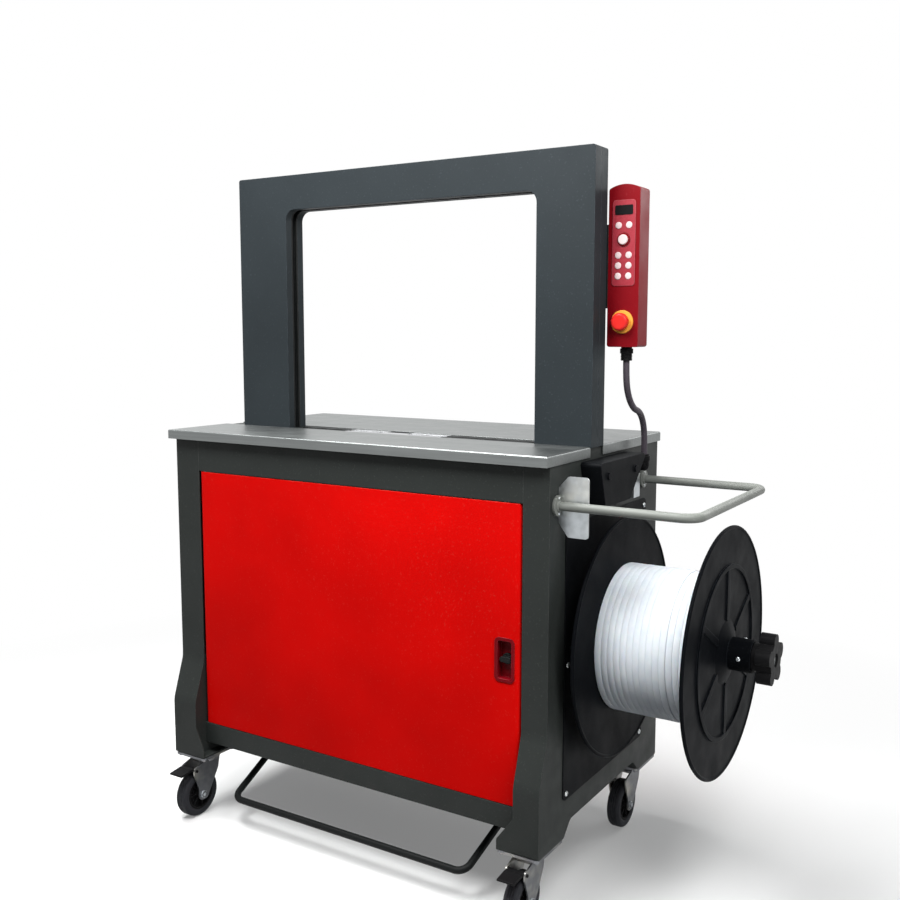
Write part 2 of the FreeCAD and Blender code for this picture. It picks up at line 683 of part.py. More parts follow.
def door_latch():
    """Quarter-turn grip, spindle and locking tongue, drawn unlocked."""
    floor = FRONT + CUP_DEPTH - SHEET
    grip = pad("xz", LATCH_X - 11, LATCH_X + 11, LATCH_Z - 5, LATCH_Z + 5, 4.5, FRONT + 1, floor - 4)
    collar = rod_y(LATCH_X, LATCH_Z, 10.0, floor - 4, floor - PLAY)
    spindle = rod_y(LATCH_X, LATCH_Z, LATCH_SPINDLE, floor - 5, FRONT + DOOR_DEPTH + 8)
    tongue = pad("xz", LATCH_X - 8, LATCH_X + 8, LATCH_Z - CAM_REACH, LATCH_Z + 9, 6.0,
                 FRONT + DOOR_DEPTH + 1.5, FRONT + DOOR_DEPTH + 5)
    nut = rod_y(LATCH_X, LATCH_Z, 8.0, FRONT + DOOR_DEPTH + 5, FRONT + DOOR_DEPTH + 9)
    return fuse([grip, collar, spindle, tongue, nut])


def rear_cover():
    """Rear panel with returned edges and two fields of cooling slots."""
    x0 = BAY_LEFT
    x1 = BAY_RIGHT
    z0 = SILL_TOP
    z1 = RAIL_BOTTOM
    cover = box(x0, x1, BACK - DOOR_DEPTH, BACK, z0, z1)
    cover = cover.cut(box(x0 + SHEET, x1 - SHEET, BACK - DOOR_DEPTH - 1, BACK - SHEET,
                          z0 + SHEET, z1 - SHEET))
    slots = []
    for column in (x0 + 90, x1 - 210):
        for row in range(7):
            z = z0 + 60 + row * 18
            slots.append(pad("xz", column, column + 120, z, z + 7, 3.4, BACK - SHEET - 1, BACK + 1))
    cover = cut(cover, slots)
    return cover.cut(rod_y(SWITCH_X, SWITCH_Z, 6.0, BACK - 5, BACK + 5))


def hinge_pins():
    """Door pivot pins with washers, and the fixed knuckles of the lifting table plate."""
    solids = []
    for base, direction in ((RAIL_BOTTOM, -1), (SILL_TOP, 1)):
        low, high = sorted((base, base + direction * 14))
        pin = rod_z(DOOR_HINGE_X, DOOR_HINGE_Y, DOOR_PIN, low, high)
        low, high = sorted((base, base + direction * (DOOR_GAP - PLAY)))
        washer = rod_z(DOOR_HINGE_X, DOOR_HINGE_Y, DOOR_PIN + 4, low, high)
        solids.append(fuse([pin, washer]))
    for x in (-TABLE_HINGE_PLACE, TABLE_HINGE_PLACE):
        half = KNUCKLE_LENGTH / 2
        leaf = box(x - half, x + half, BACK, BACK + SHEET, TABLE_HINGE_Z - 25, TABLE_HINGE_Z + 2)
        arm = box(x - half, x + half, BACK, TABLE_HINGE_Y, TABLE_HINGE_Z - 1.5, TABLE_HINGE_Z + 1.5)
        knuckle = rod_x(TABLE_HINGE_Y, TABLE_HINGE_Z, KNUCKLE_RADIUS, x - half, x + half)
        pin = rod_x(TABLE_HINGE_Y, TABLE_HINGE_Z, KNUCKLE_PIN, x - half - 19, x + half + 19)
        solids.append(fuse([leaf, arm, knuckle, pin]))
    return Part.makeCompound(solids)


# Table

def table_tray(y0, y1, front_fold):
    """Stainless plate folded down at its ends and along one long edge."""
    z0 = TABLE_HEIGHT - TABLE_FOLD
    plate = box(TABLE_LEFT, TABLE_RIGHT, y0, y1, z0, TABLE_HEIGHT)
    seam = y1 if front_fold else y0
    rounded = edges_at(plate, lambda b: abs(b.ZMin - TABLE_HEIGHT) < 1e-6
                       and not (b.YLength < 1e-6 and abs(b.YMin - seam) < 1e-6))
    plate = plate.makeFillet(TABLE_EDGE_RADIUS, rounded)
    low = y0 + SHEET if front_fold else y0 - 1
    high = y1 + 1 if front_fold else y1 - SHEET
    return plate.cut(box(TABLE_LEFT + SHEET, TABLE_RIGHT - SHEET, low, high, z0 - 1, FRAME_TOP))


def table_front_plate():
    return table_tray(TABLE_FRONT, ARCH_FRONT - PLAY, True)


def table_rear_plate():
    plate = table_tray(ARCH_BACK + 1.5, TABLE_BACK, False)
    half = KNUCKLE_LENGTH / 2
    length = 18.0
    for x in (-TABLE_HINGE_PLACE, TABLE_HINGE_PLACE):
        plate = plate.cut(box(x - half - 1, x + half + 1, TABLE_BACK - SHEET - 1, TABLE_BACK + 1,
                              TABLE_HEIGHT - TABLE_FOLD - 1, FRAME_TOP))
        for a in (x - half - 1 - length, x + half + 1):
            knuckle = rod_x(TABLE_HINGE_Y, TABLE_HINGE_Z, KNUCKLE_RADIUS, a, a + length)
            plate = fuse([plate, knuckle])
            plate = plate.cut(rod_x(TABLE_HINGE_Y, TABLE_HINGE_Z, KNUCKLE_PIN + RUNNING,
                                    a - 1, a + length + 1))
    return plate


def table_slot_strips():
    """Dark channel strips in the table between the arch legs, with the strap groove."""
    y0 = ARCH_FRONT + PLAY
    y1 = ARCH_BACK - PLAY
    solids = []
    for x0, x1 in ((BEAM_LEFT_IN, HEAD_LEFT), (HEAD_RIGHT, BEAM_RIGHT_IN)):
        strip = box(x0, x1, y0, y1, SLOT_Z - SLOT_DEPTH, SLOT_Z)
        groove = box(x0 - 1, x1 + 1, ARCH_MIDDLE - TRACK_GROOVE / 2, ARCH_MIDDLE + TRACK_GROOVE / 2,
                     SLOT_Z - TRACK_GROOVE_DEPTH, SLOT_Z + 1)
        under = box(x0 + 2, x1 - 2, y0 + 2, y1 - 2, SLOT_Z - SLOT_DEPTH - 1, SLOT_Z - TRACK_GROOVE_DEPTH - 2)
        solids.append(strip.cut(groove).cut(under))
    return Part.makeCompound(solids)


# Arch

def arch_u(inset_out, inset_in, a, b, foot=FRAME_TOP):
    """The arch's U outline, drawn in by one amount outside and grown by another inside."""
    left = ARCH_LEFT + inset_out
    right = ARCH_RIGHT - inset_out
    top = ARCH_TOP - inset_out
    in_left = OPENING_LEFT - inset_in
    in_right = OPENING_RIGHT + inset_in
    in_top = OPENING_TOP + inset_in
    points = [(left, foot), (left, top), (right, top), (right, foot),
              (in_right, foot), (in_right, in_top), (in_left, in_top), (in_left, foot)]
    outer = max(ARCH_RADIUS - inset_out, 0.5)
    inner = OPENING_RADIUS + inset_in
    return prism("xz", points, [0, outer, outer, 0, 0, inner, inner, 0], a, b)


def arch_shell(face, seam):
    """One half casing: skin, outer wall up to the seam and a shorter wall round the opening."""
    a, b = sorted((face, seam))
    shell = arch_u(0.0, 0.0, a, b)
    step = 1 if seam > face else -1
    low, high = sorted((face + step * ARCH_SHEET, seam + step))
    shell = shell.cut(arch_u(ARCH_SHEET, ARCH_SHEET, low, high, FRAME_TOP - 1))
    track_edge = ARCH_MIDDLE - step * TRACK_WIDTH / 2
    low, high = sorted((track_edge, seam + step))
    lip = arch_u(20.0, -1.0, low, high, FRAME_TOP - 1)
    return shell.cut(lip)


def arch_front_shell():
    return arch_shell(ARCH_FRONT, ARCH_MIDDLE - ARCH_SEAM / 2)


def arch_rear_shell():
    return arch_shell(ARCH_BACK, ARCH_MIDDLE + ARCH_SEAM / 2)


def arch_strap_track():
    """Strap channel round the opening: a grooved band held between the two casings."""
    half = TRACK_WIDTH / 2 - 0.2
    wide = ARCH_BEAM - TRACK_THICKNESS
    band = arch_u(wide, 0.0, ARCH_MIDDLE - half, ARCH_MIDDLE + half)
    clip_left = OPENING_LEFT - TRACK_THICKNESS
    clip_right = OPENING_RIGHT + TRACK_THICKNESS
    band = band.common(box(clip_left, clip_right, ARCH_FRONT, ARCH_BACK, FRAME_TOP,
                           OPENING_TOP + TRACK_THICKNESS))
    groove = arch_u(wide + 1, -1.0, ARCH_MIDDLE - TRACK_GROOVE / 2, ARCH_MIDDLE + TRACK_GROOVE / 2,
                    FRAME_TOP - 1)
    reach = TRACK_GROOVE_DEPTH
    keep = box(OPENING_LEFT - reach, OPENING_RIGHT + reach, ARCH_FRONT, ARCH_BACK,
               FRAME_TOP - 1, OPENING_TOP + reach)
    return band.cut(groove.common(keep))


# Strapping head

def head_frame():
    """Two side plates with lightening holes and bored bearing seats, joined by spacers."""
    outline = [(HEAD_LEFT, SLOT_Z - SLOT_DEPTH), (HEAD_LEFT, HEAD_BOTTOM + 60),
               (HEAD_LEFT + 50, HEAD_BOTTOM), (HEAD_RIGHT - 30, HEAD_BOTTOM),
               (HEAD_RIGHT, HEAD_BOTTOM + 40), (HEAD_RIGHT, SLOT_Z - SLOT_DEPTH)]
    radii = [0, 12.0, 12.0, 12.0, 12.0, 0]
    pieces = []
    for y in (HEAD_FRONT, HEAD_BACK):
        plate = prism("xz", outline, radii, y, y + HEAD_PLATE)
        bores = [rod_y(FEED_X, FEED_Z, SHAFT + RUNNING, y - 1, y + HEAD_PLATE + 1),
                 rod_y(FEED_X, pinch_z(), SHAFT - 1 + RUNNING, y - 1, y + HEAD_PLATE + 1),
                 rod_y(CAM_X, CAM_Z, SHAFT + RUNNING, y - 1, y + HEAD_PLATE + 1)]
        pieces.append(cut(plate, bores))
    for x, z in ((HEAD_LEFT + 14, HEAD_BOTTOM + 80), (HEAD_RIGHT - 14, HEAD_BOTTOM + 60)):
        pieces.append(rod_y(x, z, 8.0, HEAD_FRONT + 1, HEAD_BACK + HEAD_PLATE - 1))
    seat = SLOT_Z - SLOT_DEPTH
    for x in (HEAD_LEFT + 2, HEAD_RIGHT - 22):
        pieces.append(box(x, x + 20, HEAD_FRONT + 1, HEAD_BACK + HEAD_PLATE - 1, seat - 12, seat))
    return fuse(pieces)


def pinch_z():
    return FEED_Z - FEED_RADIUS - PINCH_RADIUS - PLAY


def head_top_plates():
    """Two hardened plates flush with the table, either side of the sliding anvil."""
    y0 = ARCH_FRONT + PLAY
    y1 = ARCH_BACK - PLAY
    solids = []
    for x0, x1 in ((HEAD_LEFT + PLAY, -ANVIL_HALF - PLAY), (ANVIL_HALF + PLAY, HEAD_RIGHT - PLAY)):
        plate = box(x0, x1, y0, y1, SLOT_Z - SLOT_DEPTH, SLOT_Z)
        plate = plate.cut(box(x0 - 1, x1 + 1, ARCH_MIDDLE - TRACK_GROOVE / 2,
                              ARCH_MIDDLE + TRACK_GROOVE / 2, SLOT_Z - 3, SLOT_Z + 1))
        solids.append(plate)
    return Part.makeCompound(solids)


def anvil_slide():
    """Sliding anvil that covers the strap ends and draws back to let the strap go."""
    y0 = ARCH_FRONT + PLAY
    y1 = ARCH_BACK - 16
    slide = box(-ANVIL_HALF, ANVIL_HALF, y0, y1, SLOT_Z - SLOT_DEPTH + PLAY, SLOT_Z)
    edges = edges_at(slide, lambda b: abs(b.ZMin - SLOT_Z) < 1e-6 and b.YLength < 1e-6)
    return slide.makeFillet(1.5, edges)


def wheel_on_shaft(x, z, radius, shaft, y0, y1, grooves):
    """A roller with circumferential grooves, fixed on its own shaft."""
    face0 = ARCH_MIDDLE - WHEEL_FACE / 2
    face1 = ARCH_MIDDLE + WHEEL_FACE / 2
    wheel = rod_y(x, z, radius, face0, face1)
    step = WHEEL_FACE / (grooves + 1)
    for i in range(grooves):
        y = face0 + step * (i + 1)
        groove = rod_y(x, z, radius + 1, y - 1, y + 1).cut(rod_y(x, z, radius - 1.2, y - 2, y + 2))
        wheel = wheel.cut(groove)
    return fuse([wheel, rod_y(x, z, shaft, y0, y1)])


def feed_wheel():
    """Feed wheel with the belt pulley on the front end of its shaft."""
    wheel = wheel_on_shaft(FEED_X, FEED_Z, FEED_RADIUS, SHAFT, belt_front() - 3, HEAD_BACK + HEAD_PLATE + 3, 3)
    return fuse([wheel, pulley(FEED_X, FEED_Z, PULLEY_RADIUS)])


def pinch_wheel():
    return wheel_on_shaft(FEED_X, pinch_z(), PINCH_RADIUS, SHAFT - 1,
                          HEAD_FRONT - 3, HEAD_BACK + HEAD_PLATE + 3, 1)


def cam_shaft():
    """Cam shaft with four eccentric cams set round the shaft and a drive gear."""
    pieces = [rod_y(CAM_X, CAM_Z, SHAFT, HEAD_FRONT - 3, HEAD_BACK + HEAD_PLATE + 3)]
    for i in range(4):
        angle = math.radians(90 * i)
        y = ARCH_FRONT + 8 + i * 10
        offset = 8.0
        pieces.append(rod_y(CAM_X + offset * math.cos(angle), CAM_Z + offset * math.sin(angle),
                            CAM_RADIUS - offset, y, y + 6))
    return fuse(pieces)


def belt_front():
    return HEAD_FRONT - 6 - BELT_WIDTH


def pulley(x, z, radius):
    """Belt pulley with two flanges."""
    y0 = belt_front()
    y1 = y0 + BELT_WIDTH
    return fuse([rod_y(x, z, radius, y0, y1), rod_y(x, z, radius + 5, y0 - 2, y0),
                 rod_y(x, z, radius + 5, y1, y1 + 2)])


def motor_pulley():
    shaft = rod_y(MOTOR_X, MOTOR_Z, SHAFT, belt_front() - 3, HEAD_BACK - 10 - PLAY)
    return fuse([pulley(MOTOR_X, MOTOR_Z, PULLEY_RADIUS), shaft])


def drive_belt():
    """Closed flat belt round the two equal pulleys."""
    y0 = belt_front() + 1
    y1 = belt_front() + BELT_WIDTH - 1
    inner = PULLEY_RADIUS + PLAY
    return stadium(inner + BELT_THICKNESS, y0, y1).cut(stadium(inner, y0 - 1, y1 + 1))


def stadium(radius, y0, y1):
    """Rounded slot shape that wraps both belt pulleys."""
    a = V(MOTOR_X, y0, MOTOR_Z)
    b = V(FEED_X, y0, FEED_Z)
    along = (b - a).normalize()
    side = V(-along.z, 0, along.x) * radius
    top = Part.Arc(b + side, b + along * radius, b - side).toShape()
    low = Part.Arc(a - side, a - along * radius, a + side).toShape()
    wire = Part.Wire([Part.LineSegment(a + side, b + side).toShape(), top,
                      Part.LineSegment(b - side, a - side).toShape(), low])
    return Part.Face(wire).extrude(V(0, y1 - y0, 0))


def feed_motor():
    """Motor with finned body and a face plate that hangs from the head's rear plate."""
    y0 = HEAD_BACK - 10
    y1 = y0 + 10
    face = prism("xz", [(MOTOR_X - 45, HEAD_BOTTOM + 40), (MOTOR_X - 45, MOTOR_Z - 50),
                        (MOTOR_X + 45, MOTOR_Z - 50), (MOTOR_X + 45, HEAD_BOTTOM + 40)],
                 [0, 14.0, 14.0, 0], y1 + HEAD_PLATE, y1 + HEAD_PLATE + 8)
    start = y1 + HEAD_PLATE + 8
    body = rod_y(MOTOR_X, MOTOR_Z, MOTOR_RADIUS - 4, start, start + MOTOR_LENGTH)
    pieces = [face, body]
    for i in range(12):
        angle = i * 30
        fin = box(MOTOR_X - 1.5, MOTOR_X + 1.5, start + 14, start + MOTOR_LENGTH - 20,
                  MOTOR_Z, MOTOR_Z + MOTOR_RADIUS)
        fin.rotate(V(MOTOR_X, 0, MOTOR_Z), V(0, 1, 0), angle)
        pieces.append(fin)
    pieces.append(rod_y(MOTOR_X, MOTOR_Z, MOTOR_RADIUS, start + MOTOR_LENGTH - 26, start + MOTOR_LENGTH))
    pieces.append(rod_y(MOTOR_X, MOTOR_Z, 18.0, HEAD_BACK - 10, start + 1))
    return fuse(pieces)


def electrics_box():
    """Switch cabinet on the base tray, with a lid that overlaps its front edge."""
    x0 = BAY_LEFT + CABINET_INSET
    x1 = x0 + CABINET_WIDTH
    y0 = CABINET_BACK - CABINET_DEPTH
    front = y0 - CABINET_LID
    z0 = SILL_BOTTOM + SHEET
    z1 = z0 + CABINET_HEIGHT
    case = box(x0, x1, y0, CABINET_BACK, z0, z1)
    lid = box(x0 - CABINET_LIP, x1 + CABINET_LIP, front, y0, z0 + SHEET, z1 + CABINET_LIP)
    hood = box(x0 - CABINET_LIP, x1 + CABINET_LIP, front, front + CABINET_HOOD, z1, z1 + CABINET_LIP)
    return fuse([case, lid, hood])


# Reel

def reel_shaft():
    """Fixed shaft on a bolted flange, with the collar that sets the reel off the body."""
    seat = RIGHT + SHEET
    face = seat + MOUNT_THICKNESS
    pieces = [rod_x(0, REEL_HEIGHT, SHAFT_RADIUS, seat, nut_end() - SHAFT_END),
              rod_x(0, REEL_HEIGHT, MOUNT_RADIUS, seat, face),
              rod_x(0, REEL_HEIGHT, HUB_RADIUS, seat, REEL_INSIDE - FLANGE_SHEET - PLAY)]
    for i in range(MOUNT_BOLTS):
        angle = math.radians(360 / MOUNT_BOLTS * (i + 0.5))
        pieces.append(rod_x(MOUNT_BOLT_CIRCLE * math.cos(angle),
                            REEL_HEIGHT + MOUNT_BOLT_CIRCLE * math.sin(angle),
                            MOUNT_BOLT_RADIUS, face, face + MOUNT_BOLT_HEIGHT))
    return fuse(pieces)


def nut_end():
    return REEL_OUTSIDE + FLANGE_SHEET + BOSS_LENGTH + PLAY + NUT_LENGTH


def flange(x0, bore, bead_side):
    """Reel flange: flat disc with a rolled rim and a pressed ring."""
    disc = ring_x(0, REEL_HEIGHT, bore, REEL_RADIUS - 3, x0, x0 + FLANGE_SHEET)
    rim = Part.makeTorus(REEL_RADIUS - 3.5, 3.5, V(x0 + FLANGE_SHEET / 2, 0, REEL_HEIGHT), V(1, 0, 0))
    a, b = sorted((x0 + FLANGE_SHEET / 2, x0 + FLANGE_SHEET / 2 + bead_side * 5))
    bead = ring_x(0, REEL_HEIGHT, CORE_RADIUS + 52, CORE_RADIUS + 60, a, b)
    return fuse([disc, rim, bead])


def reel_hub():
    """Inner flange, core drum, two webs and the bearing tube, welded as one."""
    bore = SHAFT_RADIUS + RUNNING
    inner = REEL_INSIDE - FLANGE_SHEET
    drum = ring_x(0, REEL_HEIGHT, CORE_RADIUS - 3, CORE_RADIUS, inner + 1, REEL_OUTSIDE)
    tube = ring_x(0, REEL_HEIGHT, bore, HUB_RADIUS, inner, REEL_OUTSIDE)
    web = ring_x(0, REEL_HEIGHT, HUB_RADIUS - 1, CORE_RADIUS - 2, REEL_OUTSIDE - 8, REEL_OUTSIDE - 5)
    return fuse([flange(inner, bore, -1), drum, tube, web])


def reel_outer_flange():
    """Removable outer flange with its boss and six pressed ribs."""
    bore = SHAFT_RADIUS + RUNNING
    start = REEL_OUTSIDE + FLANGE_SHEET
    boss = ring_x(0, REEL_HEIGHT, bore, BOSS_RADIUS, REEL_OUTSIDE + 1, start + BOSS_LENGTH)
    cup = Part.makeCone(62.0, BOSS_RADIUS, 12.0, V(start - 1, 0, REEL_HEIGHT), V(1, 0, 0))
    cup = cup.cut(rod_x(0, REEL_HEIGHT, BOSS_RADIUS - 4, start - 2, start + 12))
    pieces = [flange(REEL_OUTSIDE, bore, 1), boss, cup]
    for i in range(6):
        rib = pad("yz", -6, 6, REEL_HEIGHT + 58, REEL_HEIGHT + CORE_RADIUS + 54, 5.5, start - 1, start + 3)
        rib.rotate(V(0, 0, REEL_HEIGHT), V(1, 0, 0), 60 * i)
        pieces.append(rib)
    return fuse(pieces)


def strap_coil():
    """Wound strap on the core, between the flanges."""
    return ring_x(0, REEL_HEIGHT, CORE_RADIUS, COIL_RADIUS, REEL_INSIDE, REEL_OUTSIDE)


def reel_hand_nut():
    """Lobed hand nut that clamps the outer flange."""
    start = REEL_OUTSIDE + FLANGE_SHEET + BOSS_LENGTH + PLAY
    head = start + 12
    pieces = [rod_x(0, REEL_HEIGHT, 26.0, start, nut_end()),
              rod_x(0, REEL_HEIGHT, NUT_LOBE_CIRCLE, head, nut_end())]
    for i in range(NUT_LOBES):
        angle = math.radians(360 / NUT_LOBES * i + 18)
        lobe = rod_x(NUT_LOBE_CIRCLE * math.cos(angle), REEL_HEIGHT + NUT_LOBE_CIRCLE * math.sin(angle),
                     NUT_LOBE_RADIUS, head, nut_end())
        pieces.append(lobe)
    nut = fuse(pieces)
    return nut.cut(rod_x(0, REEL_HEIGHT, SHAFT_RADIUS + RUNNING, start - 1, nut_end() + 1))


# Guard rail and strap guide

def guard_rail():
    """U-shaped rail over the reel, bent from one bar, with welded end flanges."""
    seat = RIGHT
    route = [V(seat, RAIL_FRONT, RAIL_HEIGHT), V(RAIL_REACH, RAIL_FRONT, RAIL_HEIGHT),
             V(RAIL_REACH, RAIL_BACK, RAIL_HEIGHT), V(seat, RAIL_BACK, RAIL_HEIGHT)]
    bar = tube_along(route, RAIL_RADIUS, [0, RAIL_BEND, RAIL_BEND, 0])
    flanges = [rod_x(y, RAIL_HEIGHT, RAIL_FLANGE, seat, seat + RAIL_FLANGE_THICKNESS)
               for y in (RAIL_FRONT, RAIL_BACK)]
    return fuse([bar] + flanges)


def rail_brackets():
    """Bright support plates beside the rail's legs."""
    seat = RIGHT
    y0 = RAIL_FRONT + RAIL_RADIUS + PLAY
    low = RAIL_HEIGHT - BRACKET_LOW
    high = RAIL_HEIGHT + BRACKET_HIGH
    neck = seat + BRACKET_NECK
    end = seat + BRACKET_REACH
    outline = [(seat, RAIL_HEIGHT - BRACKET_SEAT_LOW), (neck, low), (end, low), (end, high), (neck, high),
               (seat, RAIL_HEIGHT + BRACKET_SEAT_HIGH)]
    radii = [0, BRACKET_CORNER, BRACKET_CORNER, BRACKET_CORNER, BRACKET_CORNER, 0]
    plate = prism("xz", outline, radii, y0, y0 + BRACKET_SHEET)
    foot = box(seat, seat + BRACKET_SHEET, y0, y0 + BRACKET_FOOT,
               RAIL_HEIGHT - BRACKET_FOOT_LOW, RAIL_HEIGHT + BRACKET_FOOT_HIGH)
    flange_room = rod_x(RAIL_FRONT, RAIL_HEIGHT, RAIL_FLANGE + PLAY, seat - 1,
                        seat + RAIL_FLANGE_THICKNESS + PLAY)
    front = fuse([plate, foot]).cut(flange_room)
    back = box(seat, seat + BRACKET_SHEET, RAIL_BACK - STOP_SHOE_FRONT, RAIL_BACK - STOP_SHOE_BACK,
               RAIL_HEIGHT - STOP_SHOE_LOW, RAIL_HEIGHT + STOP_SHOE_HIGH)
    return Part.makeCompound([front, back])


def guide_housing():
    """Tapered strap guide housing, open below, on the right end under the table."""
    seat = RIGHT + PLAY
    wall = 3.0

    def outline(inset):
        points = [(GUIDE_TOP_FRONT + inset, GUIDE_TOP - inset), (GUIDE_LOW_FRONT + inset, GUIDE_BOTTOM),
                  (GUIDE_LOW_BACK - inset, GUIDE_BOTTOM), (GUIDE_TOP_BACK - inset, GUIDE_TOP - inset)]
        return points

    body = prism("yz", outline(0.0), [6.0, 4.0, 4.0, 6.0], seat, seat + GUIDE_REACH)
    low = [(y, z - 2 if z == GUIDE_BOTTOM else z) for y, z in outline(wall)]
    hollow = prism("yz", low, [3.0, 0, 0, 3.0], seat + wall, seat + GUIDE_REACH - wall)
    body = body.cut(hollow)
    for y, z in ((GUIDE_ROLLER_Y, GUIDE_ROLLER_Z), (DANCER_Y, DANCER_Z)):
        body = fuse([body, rod_x(y, z, 4.0, seat + 1, seat + GUIDE_REACH - 1)])
        body = fuse([body, rod_x(y, z, 7.0, seat + GUIDE_REACH - 1, seat + GUIDE_REACH + 4)])
    return body


def guide_roller():
    seat = RIGHT + PLAY
    roller = ring_x(GUIDE_ROLLER_Y, GUIDE_ROLLER_Z, 4.0 + RUNNING, GUIDE_ROLLER,
                    seat + 3 + PLAY, seat + GUIDE_REACH - 3 - PLAY)
    waist = ring_x(GUIDE_ROLLER_Y, GUIDE_ROLLER_Z, GUIDE_ROLLER - 3, GUIDE_ROLLER + 1,
                   seat + 9, seat + GUIDE_REACH - 9)
    return roller.cut(waist)


def dancer_tip():
    angle = math.radians(DANCER_ANGLE)
    return DANCER_Y + DANCER_SPAN * math.cos(angle), DANCER_Z - DANCER_SPAN * math.sin(angle)


def dancer_arm():
    """Sprung dancer arm that carries the strap roller."""
    seat = RIGHT + PLAY
    y1, z1 = dancer_tip()
    x0 = seat + 3 + PLAY
    x1 = seat + GUIDE_REACH - 3 - PLAY
    sleeve = rod_x(DANCER_Y, DANCER_Z, 9.0, x0, x1)
    arms = []
    for a in (x0, x1 - 3):
        bar = pad("yz", 0, DANCER_SPAN, -6, 6, 5.5, a, a + 3)
        bar.rotate(V(0, 0, 0), V(1, 0, 0), -DANCER_ANGLE)
        bar.translate(V(0, DANCER_Y, DANCER_Z))
        arms.append(bar)
    pin = rod_x(y1, z1, 3.0, x0, x1)
    end = [rod_x(y1, z1, 6.0, a, a + 3) for a in (x0, x1 - 3)]
    arm = fuse([sleeve, pin] + arms + end)
    return arm.cut(rod_x(DANCER_Y, DANCER_Z, 4.0 + RUNNING, x0 - 1, x1 + 1))


def dancer_roller():
    seat = RIGHT + PLAY
    y1, z1 = dancer_tip()
    return ring_x(y1, z1, 3.0 + RUNNING, DANCER_ROLLER, seat + 6 + 2 * PLAY, seat + GUIDE_REACH - 6 - 2 * PLAY)


# Foot bar

def foot_bar():
    """Bent round bar, hung under the body on two pivot eyes."""
    left = BAR_LEFT - BAR_SPLAY
    right = BAR_RIGHT + BAR_SPLAY
    route = [V(left, BAR_PIVOT_Y, BAR_PIVOT_Z), V(BAR_LEFT, BAR_FRONT, BAR_HEIGHT),
             V(BAR_RIGHT, BAR_FRONT, BAR_HEIGHT), V(right, BAR_PIVOT_Y, BAR_PIVOT_Z)]
    bar = tube_along(route, BAR_RADIUS, [0, BAR_BEND, BAR_BEND, 0])
    eyes = [rod_x(BAR_PIVOT_Y, BAR_PIVOT_Z, 11.0, x - 9, x + 9) for x in (left, right)]
    bar = fuse([bar] + eyes)
    for x in (left, right):
        bar = bar.cut(rod_x(BAR_PIVOT_Y, BAR_PIVOT_Z, 5.0 + RUNNING, x - 20, x + 20))
    return bar


def foot_bar_hangers():
    """Forked hangers welded under the base tray, with the pivot pins."""
    solids = []
    for x in (BAR_LEFT - BAR_SPLAY, BAR_RIGHT + BAR_SPLAY):
        pieces = [box(x - 16, x + 16, BAR_PIVOT_Y - 16, BAR_PIVOT_Y + 30, SILL_BOTTOM - 4, SILL_BOTTOM),
                  rod_x(BAR_PIVOT_Y, BAR_PIVOT_Z, 5.0, x - 16, x + 16)]
        for a in (x - 13, x + 10):
            outline = [(BAR_PIVOT_Y - 14, BAR_PIVOT_Z - 14), (BAR_PIVOT_Y + 14, BAR_PIVOT_Z - 14),
                       (BAR_PIVOT_Y + 26, SILL_BOTTOM - 3), (BAR_PIVOT_Y - 14, SILL_BOTTOM - 3)]
            pieces.append(prism("yz", outline, [12.0, 12.0, 0, 0], a, a + 3))
        solids.append(fuse(pieces))
    return solids


# Control box

def control_box():
    """Slim operator box with a crowned top, button bores and a rounded front edge."""
    top = BOX_BOTTOM + BOX_HEIGHT
    outline = [V(BOX_LEFT, ARCH_BACK, BOX_BOTTOM), V(BOX_LEFT, ARCH_BACK, top - BOX_CROWN)]
    crown = Part.Arc(outline[1], V(BOX_X, ARCH_BACK, top), V(BOX_RIGHT, ARCH_BACK, top - BOX_CROWN))
    wire = Part.Wire([
        Part.LineSegment(outline[0], outline[1]).toShape(),
        crown.toShape(),
        Part.LineSegment(V(BOX_RIGHT, ARCH_BACK, top - BOX_CROWN),
                         V(BOX_RIGHT, ARCH_BACK, BOX_BOTTOM)).toShape(),
        Part.LineSegment(V(BOX_RIGHT, ARCH_BACK, BOX_BOTTOM), outline[0]).toShape(),
    ])
    case = Part.Face(wire).extrude(V(0, BOX_DEPTH, 0))
    upright = edges_at(case, lambda b: b.XLength < 1e-6 and b.ZLength < 1e-6)
    case = case.makeFillet(5.0, upright)
    bezel = rod_y(BOX_X, START_HEIGHT, START_RADIUS + 3, ARCH_BACK - 3, ARCH_BACK + 1)
    case = fuse([case, bezel])
    case = case.cut(rod_y(BOX_X, START_HEIGHT, START_RADIUS + RUNNING, ARCH_BACK - 5, ARCH_BACK + 16))
    case = case.cut(rod_y(BOX_X, STOP_HEIGHT, STOP_STEM + RUNNING, ARCH_BACK - 1, ARCH_BACK + 18))
    return case


def control_keypad():
    """Thin membrane over the upper half of the box front, cut out round the start button."""
    sheet = pad("xz", BOX_LEFT + 8, BOX_RIGHT - 8, KEYPAD_BOTTOM, KEYPAD_TOP, 6.0,
                ARCH_BACK - KEYPAD_SHEET, ARCH_BACK)
    return sheet.cut(rod_y(BOX_X, START_HEIGHT, START_RADIUS + 3.5, ARCH_BACK - 5, ARCH_BACK + 5))


def start_button():
    button = rod_y(BOX_X, START_HEIGHT, START_RADIUS, ARCH_BACK - 7, ARCH_BACK + 16 - START_TRAVEL - 1)
    front = edges_at(button, lambda b: abs(b.YMax - ARCH_BACK + 7) < 1e-3)
    return button.makeFillet(1.5, front)


def stop_base():
    """Round collar under the emergency stop."""
    return rod_y(BOX_X, STOP_HEIGHT, STOP_RADIUS + 5, ARCH_BACK - 3, ARCH_BACK).cut(
        rod_y(BOX_X, STOP_HEIGHT, STOP_STEM + 1, ARCH_BACK - 5, ARCH_BACK + 5))


